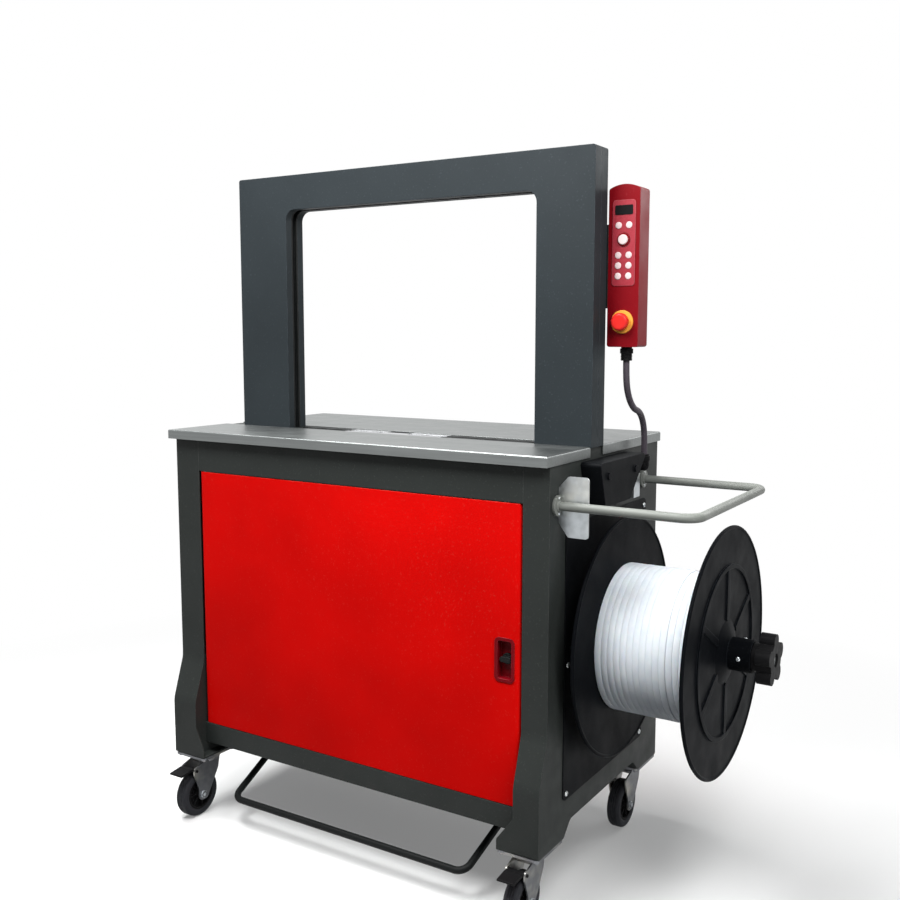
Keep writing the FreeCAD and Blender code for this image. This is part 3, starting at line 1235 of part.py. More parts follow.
def stop_button():
    """Mushroom head on a stem."""
    base = ARCH_BACK - 3 - STOP_TRAVEL - 2
    stem = rod_y(BOX_X, STOP_HEIGHT, STOP_STEM, base - 1, ARCH_BACK + 18 - STOP_TRAVEL - 1)
    head = rod_y(BOX_X, STOP_HEIGHT, STOP_RADIUS, base - 10, base)
    front = edges_at(head, lambda b: abs(b.YMax - (base - 10)) < 1e-3)
    head = head.makeFillet(5.0, front)
    return fuse([stem, head])


def control_bracket():
    """Folded bracket between the arch's rear face and the side of the box."""
    z0 = BOX_BOTTOM + ARM_RISE
    z1 = z0 + ARM_HEIGHT
    wall = BOX_LEFT - ARCH_RIGHT
    leaf = pad("xz", ARCH_RIGHT - ARM_LEAF, ARCH_RIGHT + wall, z0, z1, ARM_CORNER, ARCH_BACK, ARCH_BACK + wall)
    wing = pad("yz", ARCH_BACK, BOX_BACK - ARM_MARGIN, z0, z1, 0.5, ARCH_RIGHT, BOX_LEFT)
    return fuse([leaf, wing])


def cable_glands():
    """Gland under the control box and the elbow fitting on the right end."""
    gland = rod_z(BOX_X, BOX_Y, GLAND_RADIUS, BOX_BOTTOM - GLAND_LENGTH, BOX_BOTTOM)
    nut = prism("xy", hexagon(BOX_X, BOX_Y, GLAND_RADIUS + 3), [0] * 6,
                BOX_BOTTOM - 12, BOX_BOTTOM - 3)
    x = RIGHT + ELBOW_REACH
    flat = rod_x(ELBOW_Y, ELBOW_Z, GLAND_RADIUS, RIGHT, x)
    ball = Part.makeSphere(GLAND_RADIUS, V(x, ELBOW_Y, ELBOW_Z))
    rise = rod_z(x, ELBOW_Y, GLAND_RADIUS, ELBOW_Z, ELBOW_Z + ELBOW_RISE)
    collar = rod_z(x, ELBOW_Y, GLAND_RADIUS + 2, ELBOW_Z + ELBOW_RISE - 12, ELBOW_Z + ELBOW_RISE - 3)
    return Part.makeCompound([fuse([gland, nut]), fuse([flat, ball, rise, collar])])


def hexagon(x, y, radius):
    return [(x + radius * math.cos(math.radians(60 * i)), y + radius * math.sin(math.radians(60 * i)))
            for i in range(6)]


def control_cable():
    """Flexible lead from the box gland to the elbow, in tangent arcs."""
    points = [
        V(485, -16, 1005),
        V(485, -16, 968),
        V(484, 1, 935),
        V(482, 31, 913),
        V(479, 67, 906),
        V(475, 97, 885),
        V(472, 114, 853),
        V(472, 114, 818),
    ]
    bends = [0.0]
    for i in range(1, len(points) - 1):
        before = points[i] - points[i - 1]
        after = points[i + 1] - points[i]
        half = before.getAngle(after) / 2
        bends.append(0.45 * min(before.Length, after.Length) / math.tan(half))
    bends.append(0.0)
    tube = tube_along(points, CABLE_RADIUS, bends)
    length = rounded_wire(points, bends, closed=False).Length
    print("cable bends", [round(bend, 1) for bend in bends[1:-1]], "length", round(length, 1),
          "volume ratio", round(tube.Volume / (math.pi * CABLE_RADIUS ** 2 * length), 5))
    return tube


def main_switch():
    """Rotary main switch knob on the rear cover."""
    base = rod_y(SWITCH_X, SWITCH_Z, 22.0, BACK + PLAY, BACK + 8)
    grip = pad("xz", SWITCH_X - 6, SWITCH_X + 6, SWITCH_Z - 20, SWITCH_Z + 20, 5.5, BACK + 7, BACK + 24)
    stem = rod_y(SWITCH_X, SWITCH_Z, 6.0 - RUNNING, BACK - 12, BACK + 1)
    return fuse([base, grip, stem])


def panel_screws():
    """Round-headed screws of the end panels and the rear cover's lower and upper edge."""
    heads = []
    for side in (-1, 1):
        seat = side * (BODY_LENGTH / 2 + SHEET)
        for y in (FRONT + POST_DEPTH + 14, BACK - POST_DEPTH - 14):
            for z in (SILL_TOP + 14, (SILL_TOP + PANEL_TOP) / 2, PANEL_TOP - 14):
                heads.append(screw("x", y, z, seat, 5.0, side * 3.0))
    for x in (BAY_LEFT + 20, BAY_RIGHT - 20):
        for z in (SILL_TOP + 16, RAIL_BOTTOM - 16):
            heads.append(screw("y", x, z, BACK, 5.0, 3.0))
    return Part.makeCompound(heads)


def build():
    parts = {
        "end_frame_left": end_frame(-1, POST_LEFT),
        "end_frame_right": end_frame(1, POST_RIGHT),
        "frame_rails": frame_rails(),
        "base_tray": base_tray(),
        "end_panel_left": end_panel(-1),
        "end_panel_right": end_panel(1),
        "rear_cover": rear_cover(),
        "table_front_plate": table_front_plate(),
        "table_rear_plate": table_rear_plate(),
        "table_slot_strips": table_slot_strips(),
        "arch_front_shell": arch_front_shell(),
        "arch_rear_shell": arch_rear_shell(),
        "arch_strap_track": arch_strap_track(),
        "castor_plates": castor_plates(),
        "hinge_pins": hinge_pins(),
        "front_door": front_door(),
        "door_latch_cup": door_latch_cup(),
        "door_latch": door_latch(),
        "head_frame": head_frame(),
        "head_top_plates": head_top_plates(),
        "anvil_slide": anvil_slide(),
        "feed_wheel": feed_wheel(),
        "pinch_wheel": pinch_wheel(),
        "cam_shaft": cam_shaft(),
        "motor_pulley": motor_pulley(),
        "drive_belt": drive_belt(),
        "feed_motor": feed_motor(),
        "electrics_box": electrics_box(),
        "reel_shaft": reel_shaft(),
        "reel_hub": reel_hub(),
        "reel_outer_flange": reel_outer_flange(),
        "strap_coil": strap_coil(),
        "reel_hand_nut": reel_hand_nut(),
        "guard_rail": guard_rail(),
        "rail_brackets": rail_brackets(),
        "guide_housing": guide_housing(),
        "guide_roller": guide_roller(),
        "dancer_arm": dancer_arm(),
        "dancer_roller": dancer_roller(),
        "foot_bar": foot_bar(),
        "control_box": control_box(),
        "control_keypad": control_keypad(),
        "control_bracket": control_bracket(),
        "start_button": start_button(),
        "stop_base": stop_base(),
        "stop_button": stop_button(),
        "cable_glands": cable_glands(),
        "control_cable": control_cable(),
        "main_switch": main_switch(),
        "panel_screws": panel_screws(),
    }
    for name, (x, y) in castor_places().items():
        braked = name.startswith("front")
        parts["castor_fork_" + name] = castor_fork(x, y, braked)
        parts["castor_wheel_" + name] = castor_wheel(x, y)
        if braked:
            parts["castor_brake_" + name] = castor_brake(x, y)
    return parts


def main():
    os.makedirs("parts", exist_ok=True)
    for name, shape in build().items():
        if not shape.isValid():
            print("not valid", name)
        shape.exportStep(os.path.join("parts", name + ".step"))


main()
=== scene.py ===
import json
import math
import random
import bmesh
import bpy
from mathutils import Matrix, Vector


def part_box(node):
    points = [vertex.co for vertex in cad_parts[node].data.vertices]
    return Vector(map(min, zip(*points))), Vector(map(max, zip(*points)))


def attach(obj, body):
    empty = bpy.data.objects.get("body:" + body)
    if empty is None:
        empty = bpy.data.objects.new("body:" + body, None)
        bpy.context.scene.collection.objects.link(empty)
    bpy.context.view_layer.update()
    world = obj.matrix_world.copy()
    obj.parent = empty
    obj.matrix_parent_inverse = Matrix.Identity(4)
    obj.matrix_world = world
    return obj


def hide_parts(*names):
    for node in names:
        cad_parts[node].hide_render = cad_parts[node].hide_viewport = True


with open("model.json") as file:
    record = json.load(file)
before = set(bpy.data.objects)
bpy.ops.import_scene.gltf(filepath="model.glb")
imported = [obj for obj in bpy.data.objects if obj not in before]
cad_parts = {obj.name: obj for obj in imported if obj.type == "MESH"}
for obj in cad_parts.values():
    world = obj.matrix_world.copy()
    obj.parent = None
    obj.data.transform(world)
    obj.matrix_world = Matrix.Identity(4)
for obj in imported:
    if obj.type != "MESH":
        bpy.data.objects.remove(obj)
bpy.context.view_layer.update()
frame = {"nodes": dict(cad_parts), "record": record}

# Everything is in metres: +X towards the strap reel, -Y towards the operator, +Z up.

# Camera, as it stood for the photograph
CAMERA_PLACE = (1.23086, -1.80105, 1.06095)
CAMERA_YAW = 32.32
CAMERA_PITCH = 6.62
FOCAL_SHARE = 1.1495
SENSOR = 36.0
NEAR_CLIP = 0.02

# Control lead
LEAD_POINTS = [
    (0.485, -0.016, 1.005),
    (0.485, -0.016, 0.968),
    (0.484, 0.001, 0.935),
    (0.482, 0.031, 0.913),
    (0.479, 0.067, 0.906),
    (0.475, 0.097, 0.885),
    (0.472, 0.114, 0.853),
    (0.472, 0.114, 0.818),
]
LEAD_DIAMETER = 0.012

# Strap
STRAP_WIDTH = 0.012
STRAP_THICKNESS = 0.0008
EMBOSSING_PITCH = 0.0022
TURN_GAP = 0.00036
STRAP_EDGE = 0.0007
OUTER_LAYER_TURNS = 11
UNDER_LAYER_DEPTH = 1.6 * STRAP_THICKNESS
COIL_BODY_DEPTH = 3.4 * STRAP_THICKNESS
CORE_DEPTH = 0.130
STEPS_PER_TURN = 90
LARGEST_DIP = 0.00045

# Castor wheels
CORNERS = ("front_left", "front_right", "rear_left", "rear_right")
HUB_HALF = 0.0165
TYRE_INSET = 0.0025
TYRE_DEPTH = 0.0155
TYRE_CROWN = 0.007
TREAD_GROOVE = 0.0012
GROOVE_PLACES = (-0.0045, 0.0, 0.0045)
RIM_DEPTH = 0.004
RIM_INSET = 0.0015
WEB_HALF = 0.002
WEB_BORE = 0.010
WEB_DEPTH = 0.003
BEARING_BORE = 0.0041
HUB_RIBS = 7
RIB_HALF_LENGTH = 0.0095
RIB_HALF_WIDTH = 0.0011
RIB_FOOT = 0.0105
FORK_REACH = 0.0205
AXLE_NUT = 0.0073

# Screws
SCREW_RADIUS = 0.005
SCREW_HEIGHT = 0.003
BOSS_RADIUS = 0.0297
BOSS_SCREWS = 3
BOSS_SCREW_INSET = 0.021
BOSS_SCREW_SIZE = (0.0044, 0.0020)
ARCH_SCREW_SIZE = (0.0045, 0.0022)
ARCH_SCREW_INSET = 0.066
ARCH_SCREW_RIGHT_INSET = 0.88 * ARCH_SCREW_INSET
ARCH_SCREW_DROP = 0.036
ARCH_LEG_SCREWS = 3
ARCH_LEG_START = 0.052
ARCH_LEG_PITCH = 0.16
ARCH_BEAM_SCREWS = 5

# Guard rail
RAIL_RADIUS = 0.008
FLANGE_RADIUS = 0.018
FLANGE_THICKNESS = 0.005
FLANGE_SCREW_CIRCLE = 0.0132
FLANGE_SCREW_SIZE = (0.0030, 0.0018)

# Glands: the end of the lead each one holds, its lowest rib above that end, and how many ribs it has
GLANDS = ((LEAD_POINTS[0], 0.0018, 4), (LEAD_POINTS[-1], -0.0205, 3))
GLAND_RIB_PITCH = 0.0028

# Keypad
KEY_SPREAD = 0.010
KEY_ROWS = 3
KEY_ROW_START = 0.0175
KEY_ROW_PITCH = 0.0185
UPPER_KEYS_DROP = 0.0445
KEY_PROFILE = ((0.0, 0.0062), (0.0007, 0.0060), (0.0011, 0.0048), (0.0013, 0.002))
DISPLAY_HALF_WIDTH = 0.017
DISPLAY_HEIGHT = 0.017
DISPLAY_DROP = 0.009
DISPLAY_CORNER = 0.002
DISPLAY_THICKNESS = 0.0008
DISPLAY_SOFTENING = 0.0003

# Stage: each lamp has its place, its target, its size and its power in watts
AMBIENT = 0.13
FLOOR_HALF = 9.0
FADE_START = 0.65
FADE_END = 1.9
WHITE_NEAR_OBJECT = 0.19
LAMPS = {
    "key": ((-0.05, -1.00, 2.00), (0.1, -0.2, 0.60), 0.8, 33.0),
    "fill": ((1.25, -0.75, 1.75), (0.55, 0.0, 0.5), 0.8, 20.0),
    "low": ((1.5, -0.55, 0.15), (0.6, 0.0, 0.45), 0.5, 4.0),
    "top": ((-0.8, -0.2, 2.8), (0.2, -0.2, 0.4), 1.4, 84.0),
    "rear": ((1.3, 2.2, 1.9), (0.3, 0.1, 0.6), 1.2, 12.0),
}

WHITE = (1.0, 1.0, 1.0, 1.0)
SMOOTH_ANGLE = math.radians(32)
MERGE_DISTANCE = 1e-6
random.seed(7)
scene = bpy.context.scene


# Camera and control lead

def add_camera():
    data = bpy.data.cameras.new("camera")
    data.sensor_width = SENSOR
    data.lens = FOCAL_SHARE * SENSOR
    data.clip_start = NEAR_CLIP
    camera = bpy.data.objects.new("camera", data)
    camera.location = CAMERA_PLACE
    camera.rotation_euler = (math.radians(90 - CAMERA_PITCH), 0.0, math.radians(CAMERA_YAW))
    scene.collection.objects.link(camera)
    scene.camera = camera


def add_lead():
    """The flexible lead from the operator box to the elbow on the right end."""
    data = bpy.data.curves.new("control_lead", "CURVE")
    data.dimensions = "3D"
    data.bevel_depth = LEAD_DIAMETER / 2
    data.bevel_resolution = 8
    data.resolution_u = 24
    spline = data.splines.new("NURBS")
    spline.points.add(len(LEAD_POINTS) - 1)
    for point, place in zip(spline.points, LEAD_POINTS):
        point.co = (*place, 1.0)
    spline.order_u = 3
    spline.use_endpoint_u = True
    lead = bpy.data.objects.new("control_lead", data)
    scene.collection.objects.link(lead)
    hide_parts("control_cable")
    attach(lead, "frame")
    return lead


add_camera()
lead = add_lead()


# Materials

class Surface:
    """A material whose colour, roughness and relief come from procedural nodes."""

    def __init__(self, name, metallic=0.0, **constants):
        self.material = bpy.data.materials.new(name)
        self.material.use_nodes = True
        self.tree = self.material.node_tree
        self.shader = self.tree.nodes["Principled BSDF"]
        self.shader.inputs["Metallic"].default_value = metallic
        for socket, value in constants.items():
            self.shader.inputs[socket.replace("_", " ")].default_value = value
        self.place = self.tree.nodes.new("ShaderNodeTexCoord").outputs["Object"]
        self.normal = None

    def feed(self, socket, value):
        if isinstance(value, bpy.types.NodeSocket):
            self.tree.links.new(value, socket)
        else:
            socket.default_value = value

    def math(self, operation, a, b=0.0):
        node = self.tree.nodes.new("ShaderNodeMath")
        node.operation = operation
        self.feed(node.inputs[0], a)
        self.feed(node.inputs[1], b)
        return node.outputs[0]

    def span(self, value, low, high, to_low=0.0, to_high=1.0):
        node = self.tree.nodes.new("ShaderNodeMapRange")
        self.feed(node.inputs["Value"], value)
        ends = {"From Min": low, "From Max": high, "To Min": to_low, "To Max": to_high}
        for socket, number in ends.items():
            node.inputs[socket].default_value = number
        return node.outputs[0]

    def noise(self, grain, detail=2.0, stretch=(1.0, 1.0, 1.0), place=None):
        """Noise from 0 to 1 whose grain is so many metres across."""
        mapping = self.tree.nodes.new("ShaderNodeMapping")
        self.feed(mapping.inputs["Vector"], place or self.place)
        mapping.inputs["Scale"].default_value = [factor / grain for factor in stretch]
        node = self.tree.nodes.new("ShaderNodeTexNoise")
        node.inputs["Scale"].default_value = 1.0
        node.inputs["Detail"].default_value = detail
        self.tree.links.new(mapping.outputs[0], node.inputs["Vector"])
        return node.outputs["Fac"]

    def blend(self, share, a, b):
        node = self.tree.nodes.new("ShaderNodeMix")
        node.data_type = "RGBA"
        self.feed(node.inputs[0], share)
        self.feed(node.inputs[6], a if isinstance(a, bpy.types.NodeSocket) else (*a, 1.0))
        self.feed(node.inputs[7], b if isinstance(b, bpy.types.NodeSocket) else (*b, 1.0))
        return node.outputs[2]

    def edge(self, radius):
        """High along the edges of the piece, from the angle between its bevelled and its true normal."""
        bevel = self.tree.nodes.new("ShaderNodeBevel")
        bevel.samples = 4
        bevel.inputs["Radius"].default_value = radius
        true = self.tree.nodes.new("ShaderNodeNewGeometry").outputs["Normal"]
        dot = self.tree.nodes.new("ShaderNodeVectorMath")
        dot.operation = "DOT_PRODUCT"
        self.tree.links.new(bevel.outputs[0], dot.inputs[0])
        self.tree.links.new(true, dot.inputs[1])
        self.normal = bevel.outputs[0]
        return self.span(dot.outputs["Value"], 0.98, 0.80)

    def colour(self, value):
        self.feed(self.shader.inputs["Base Color"], value)

    def rough(self, value):
        self.feed(self.shader.inputs["Roughness"], value)

    def relief(self, height, distance, strength=1.0):
        node = self.tree.nodes.new("ShaderNodeBump")
        node.inputs["Strength"].default_value = strength
        node.inputs["Distance"].default_value = distance
        self.tree.links.new(height, node.inputs["Height"])
        if self.normal:
            self.tree.links.new(self.normal, node.inputs["Normal"])
        self.normal = node.outputs[0]
        self.tree.links.new(self.normal, self.shader.inputs["Normal"])


def shade(colour, factor):
    return tuple(min(channel * factor, 1.0) for channel in colour)


def coating(name, colour, dust_wear_and_highlight, roughness, grain=0.0012, wear_and_highlight=0.5, gloss=0.2):
    """Powder coat or enamel: mottled colour, orange peel, fine dust, and paler edges that are partly worn
    paint and partly a painted highlight along every rim.
    """
    s = Surface(name, Specular_IOR_Level=gloss)
    cloud = s.span(s.noise(0.22, 4.0), 0.32, 0.68)
    base = s.blend(cloud, shade(colour, 0.90), shade(colour, 1.10))
    speck = s.span(s.noise(0.0035, 1.0), 0.66, 0.74)
    base = s.blend(s.math("MULTIPLY", speck, 0.12), base, dust_wear_and_highlight)
    # Paler edges, convex and concave alike: partly worn paint, partly a painted highlight along the rims.
    rubbed_and_lit_edge = s.math("MULTIPLY", s.edge(0.0018), s.span(s.noise(0.02, 5.0), 0.38, 0.62, 0.25, 1.0))
    s.colour(s.blend(s.math("MULTIPLY", rubbed_and_lit_edge, wear_and_highlight), base, dust_wear_and_highlight))
    s.rough(s.span(s.noise(0.05, 5.0), 0.3, 0.7, roughness - 0.05, roughness + 0.09))
    s.relief(s.noise(grain, 1.0), 0.00005)
    s.relief(s.noise(0.06, 1.0), 0.0004, 0.35)
    return s.material


def brushed(name, colour, roughness, along=(0.02, 1.0, 1.0), grain=0.0006):
    """Brushed or ground metal with fine lines, faint handling marks and a painted highlight along its edges.
    """
    s = Surface(name, metallic=1.0)
    lines = s.noise(grain, 3.0, along)
    broad = s.noise(0.004, 2.0, along)
    tone = s.blend(s.span(broad, 0.3, 0.7), shade(colour, 0.90), shade(colour, 1.08))
    # The edges are painted brighter: a painted highlight.
    s.colour(s.blend(s.math("MULTIPLY", s.edge(0.0012), 0.6), tone, shade(colour, 1.25)))
    marks = s.span(s.noise(0.05, 6.0), 0.35, 0.65, roughness - 0.03, roughness + 0.06)
    s.rough(s.math("ADD", marks, s.span(lines, 0.3, 0.7, -0.05, 0.05)))
    s.relief(lines, 0.00003, 0.6)
    return s.material


def zinc_plate(name, colour, roughness):
    """Bright zinc plate: crystalline clouding and a slight blue-yellow tint."""
    s = Surface(name, metallic=1.0)
    cloud = s.noise(0.012, 4.0)
    tone = s.blend(s.span(cloud, 0.35, 0.65), shade(colour, 0.84), shade(colour, 1.05))
    s.colour(s.blend(s.span(s.noise(0.05, 2.0), 0.45, 0.75, 0.0, 0.35), tone, (0.80, 0.76, 0.62)))
    s.rough(s.span(s.noise(0.006, 3.0), 0.3, 0.7, roughness - 0.07, roughness + 0.10))
    s.relief(s.noise(0.0015, 2.0), 0.00003)
    return s.material


def moulded(name, colour, roughness, grain=0.0009, depth=0.00004, scuff=0.25, gloss=0.2):
    """Moulded plastic or rubber: leathery grain and paler scuffs."""
    s = Surface(name, Specular_IOR_Level=gloss)
    cloud = s.span(s.noise(0.05, 3.0), 0.3, 0.7)
    base = s.blend(cloud, shade(colour, 0.88), shade(colour, 1.12))
    pale = tuple(channel * 0.8 + 0.12 for channel in colour)
    marks = s.math("MULTIPLY", s.edge(0.0015), s.span(s.noise(0.008, 4.0), 0.4, 0.6))
    s.colour(s.blend(s.math("MULTIPLY", marks, scuff), base, pale))
    s.rough(s.span(s.noise(0.01, 4.0), 0.3, 0.7, roughness - 0.06, roughness + 0.08))
    s.relief(s.noise(grain, 1.0), depth)
    return s.material


def wound_strap(name):
    """Embossed plastic strap: fine diamonds along its run, which the piece's own map gives."""
    s = Surface(name, Subsurface_Weight=0.08, Subsurface_Scale=0.004, Specular_IOR_Level=0.25)
    run = s.tree.nodes.new("ShaderNodeUVMap").outputs[0]
    split = s.tree.nodes.new("ShaderNodeSeparateXYZ")
    s.tree.links.new(run, split.inputs[0])
    along, across = split.outputs[0], split.outputs[1]
    waves = 2 * math.pi / EMBOSSING_PITCH
    first = s.math("SINE", s.math("MULTIPLY", s.math("ADD", along, across), waves))
    second = s.math("SINE", s.math("MULTIPLY", s.math("SUBTRACT", along, across), waves))
    s.relief(s.math("MULTIPLY", first, second), 0.00012, 0.7)
    cloud = s.span(s.noise(0.03, 3.0, place=run), 0.3, 0.7)
    s.colour(s.blend(cloud, (0.80, 0.85, 0.92), (0.90, 0.93, 0.97)))
    s.rough(s.span(s.noise(0.01, 3.0, place=run), 0.3, 0.7, 0.34, 0.50))
    return s.material


def membrane(name):
    """Printed polyester membrane: a matt sheet with a finely printed field and a painted highlight along its
    edges.
    """
    s = Surface(name, Specular_IOR_Level=0.2)
    dots = s.span(s.noise(0.0016, 1.0), 0.45, 0.55)
    field = s.blend(dots, (0.27, 0.021, 0.033), (0.31, 0.030, 0.043))
    # Pale pink rim along the membrane's edges: a painted highlight.
    s.colour(s.blend(s.math("MULTIPLY", s.edge(0.001), 0.5), field, (0.75, 0.35, 0.36)))
    s.rough(s.span(s.noise(0.012, 3.0), 0.3, 0.7, 0.38, 0.52))
    s.relief(s.noise(0.0007, 1.0), 0.00002)
    return s.material


FINISHES = {
    "frame_coating": coating("frame_coating", (0.021, 0.024, 0.0225), (0.13, 0.14, 0.13), 0.50, gloss=0.15),
    "end_coating": coating("end_coating", (0.0035, 0.0040, 0.0048), (0.05, 0.05, 0.06), 0.52, gloss=0.04),
    "arch_coating": coating("arch_coating", (0.019, 0.024, 0.027), (0.10, 0.12, 0.14), 0.52, gloss=0.10),
    "red_coating": coating("red_coating", (0.66, 0.0025, 0.0017), (0.72, 0.14, 0.10), 0.42, gloss=0.05),
    # Darker red: the control box's own colour, and painted shade in the door's latch cup.
    "box_red_and_recess_shade": coating("box_red_and_recess_shade", (0.165, 0.0020, 0.0055), (0.38, 0.07, 0.08), 0.38, gloss=0.09),
    "black_coating": coating("black_coating", (0.007, 0.008, 0.008), (0.07, 0.07, 0.07), 0.46, gloss=0.10),
    "reel_black": coating("reel_black", (0.0030, 0.0035, 0.0045), (0.05, 0.06, 0.07), 0.44, gloss=0.02),
    "rail_grey": coating("rail_grey", (0.17, 0.18, 0.165), (0.38, 0.39, 0.37), 0.40),
    "motor_grey": coating("motor_grey", (0.10, 0.12, 0.14), (0.28, 0.30, 0.32), 0.55, grain=0.002),
    "stainless": brushed("stainless", (0.195, 0.207, 0.205), 0.38),
    "machined": brushed("machined", (0.46, 0.47, 0.48), 0.32, along=(1.0, 0.05, 1.0)),
    "zinc": zinc_plate("zinc", (0.46, 0.49, 0.51), 0.38),
    # Zinc darkened for the castors under the machine: painted shade.
    "shaded_castor_zinc": zinc_plate("shaded_castor_zinc", (0.15, 0.155, 0.165), 0.42),
    "black_plastic": moulded("black_plastic", (0.006, 0.006, 0.0065), 0.50, gloss=0.06),
    "tyre": moulded("tyre", (0.020, 0.021, 0.025), 0.66, grain=0.0006),
    "strap": wound_strap("strap"),
    "keypad": membrane("keypad"),
    "ivory": moulded("ivory", (0.66, 0.52, 0.52), 0.34, depth=0.00002),
    "yellow": moulded("yellow", (0.78, 0.34, 0.05), 0.42, depth=0.00002),
    "stop_red": moulded("stop_red", (0.60, 0.018, 0.014), 0.34, depth=0.00002),
    "cable_sheath": moulded("cable_sheath", (0.060, 0.050, 0.062), 0.56, grain=0.0014),
    "belt_rubber": moulded("belt_rubber", (0.018, 0.018, 0.019), 0.68, grain=0.0005),
}


# Nodes whose finish isn't that of their material slot
NODE_FINISHES = {
    "control_box": "box_red_and_recess_shade",
    # The castor plates take the darkened zinc: painted shade under the machine.
    "castor_plates": "shaded_castor_zinc",
    "door_latch": "black_coating",
    # The latch cup takes the darker red: painted shade in its recess.
    "door_latch_cup": "box_red_and_recess_shade",
}
# The castor forks take the darkened zinc too: painted shade.
for corner in CORNERS:
    NODE_FINISHES["castor_fork_" + corner] = "shaded_castor_zinc"


def dress_nodes():
    """Gives each CAD node its finish."""
    for part in frame["record"]["subparts"]:
        node = frame["nodes"][part["node"]]
        finish = FINISHES[NODE_FINISHES.get(part["node"], part["material_slot"])]
        if not node.material_slots:
            node.data.materials.append(finish)
        for slot in node.material_slots:
            slot.material = finish


dress_nodes()
lead.data.materials.append(FINISHES["cable_sheath"])


# Mesh helpers

AXES = {"x": (Vector((1, 0, 0)), Vector((0, 1, 0)), Vector((0, 0, 1))),
        "y": (Vector((0, 1, 0)), Vector((0, 0, 1)), Vector((1, 0, 0))),
        "z": (Vector((0, 0, 1)), Vector((1, 0, 0)), Vector((0, 1, 0)))}


def edge_radius(radius, sides, angle):
    """Radius of a circle, or of a regular polygon of that apothem, at an angle."""
    if not sides:
        return radius
    sector = 2 * math.pi / sides
    return radius / math.cos((angle + sector / 2) % sector - sector / 2)


def turned(bm, origin, axis, profile, segments=48, closed=False, flip=1.0):
    """Revolves (height, radius, sides) points; a closed profile gives a ring, an open one is capped."""
    along, right, up = AXES[axis]
    rings = []
    for height, radius, *sides in profile:
        ring = []
        for i in range(segments):
            angle = 2 * math.pi * i / segments
            reach = edge_radius(radius, sides[0] if sides else 0, angle)
            out = right * math.cos(angle) + up * math.sin(angle)
            ring.append(bm.verts.new(origin + along * (height * flip) + out * reach))
        rings.append(ring)
    pairs = list(zip(rings, rings[1:]))
    if closed:
        pairs.append((rings[-1], rings[0]))
    for a, b in pairs:
        for i in range(segments):
            j = (i + 1) % segments
            bm.faces.new((a[i], a[j], b[j], b[i]))
    if not closed:
        bm.faces.new(rings[0])
        bm.faces.new(rings[-1])


def arc(centre, radius, start, end, steps):
    """Points (height, radius) of an arc in a profile, angles in degrees from the height axis."""
    points = []
    for i in range(steps + 1):
        angle = math.radians(start + (end - start) * i / steps)
        points.append((centre[0] + radius * math.cos(angle), centre[1] + radius * math.sin(angle)))
    return points


def plate(bm, plane, outline, a, b, soften=0.0):
    """Extrudes an outline in the xy or xz plane from a to b, with its rims softened."""
    place = {"xy": lambda u, v, w: Vector((u, v, w)),
             "xz": lambda u, v, w: Vector((u, w, v))}[plane]
    low = [bm.verts.new(place(u, v, a)) for u, v in outline]
    high = [bm.verts.new(place(u, v, b)) for u, v in outline]
    caps = [bm.faces.new(low), bm.faces.new(high)]
    count = len(outline)
    for i in range(count):
        j = (i + 1) % count
        bm.faces.new((low[i], low[j], high[j], high[i]))
    if soften:
        rims = [edge for cap in caps for edge in cap.edges]
        bmesh.ops.bevel(bm, geom=rims, offset=soften, segments=2, affect="EDGES", clamp_overlap=True)


def rounded(u0, u1, v0, v1, radius, steps=6):
    """A rectangle with rounded corners."""
    points = []
    for cu, cv, start in ((u1 - radius, v1 - radius, 0), (u0 + radius, v1 - radius, 90),
                          (u0 + radius, v0 + radius, 180), (u1 - radius, v0 + radius, 270)):
        for i in range(steps + 1):
            angle = math.radians(start + 90 * i / steps)
            points.append((cu + radius * math.cos(angle), cv + radius * math.sin(angle)))
    return points


def piece(name, bm, finish, body, *replaced):
    """Turns a built mesh into a piece that rides on a body and may stand for CAD nodes."""
    bmesh.ops.recalc_face_normals(bm, faces=bm.faces)
    mesh = bpy.data.meshes.new(name)
    bm.to_mesh(mesh)
    bm.free()
    mesh.polygons.foreach_set("use_smooth", [True] * len(mesh.polygons))
    mesh.set_sharp_from_angle(angle=SMOOTH_ANGLE)
    mesh.materials.append(FINISHES[finish])
    obj = bpy.data.objects.new(name, mesh)
    scene.collection.objects.link(obj)
    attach(obj, body)
    if replaced:
        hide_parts(*replaced)
    return obj


def middle(node):
    """Centre of a CAD node's box."""
    low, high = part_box(node)
    return (low + high) / 2


def islands(node):
    """Lowest and highest corner of each separate solid in a CAD node."""
    bm = bmesh.new()
    bm.from_mesh(frame["nodes"][node].data)
    bmesh.ops.remove_doubles(bm, verts=bm.verts, dist=MERGE_DISTANCE)
    left = set(bm.verts)
    boxes = []
    while left:
        group = [left.pop()]
        for vert in group:
            for edge in vert.link_edges:
                other = edge.other_vert(vert)
                if other in left:
                    left.remove(other)
                    group.append(other)
        low = Vector([min(vert.co[k] for vert in group) for k in range(3)])
        high = Vector([max(vert.co[k] for vert in group) for k in range(3)])
        boxes.append((low, high))
    bm.free()
    return sorted(boxes, key=lambda box: tuple(round(value, 4) for value in box[0]))


# Castor wheels

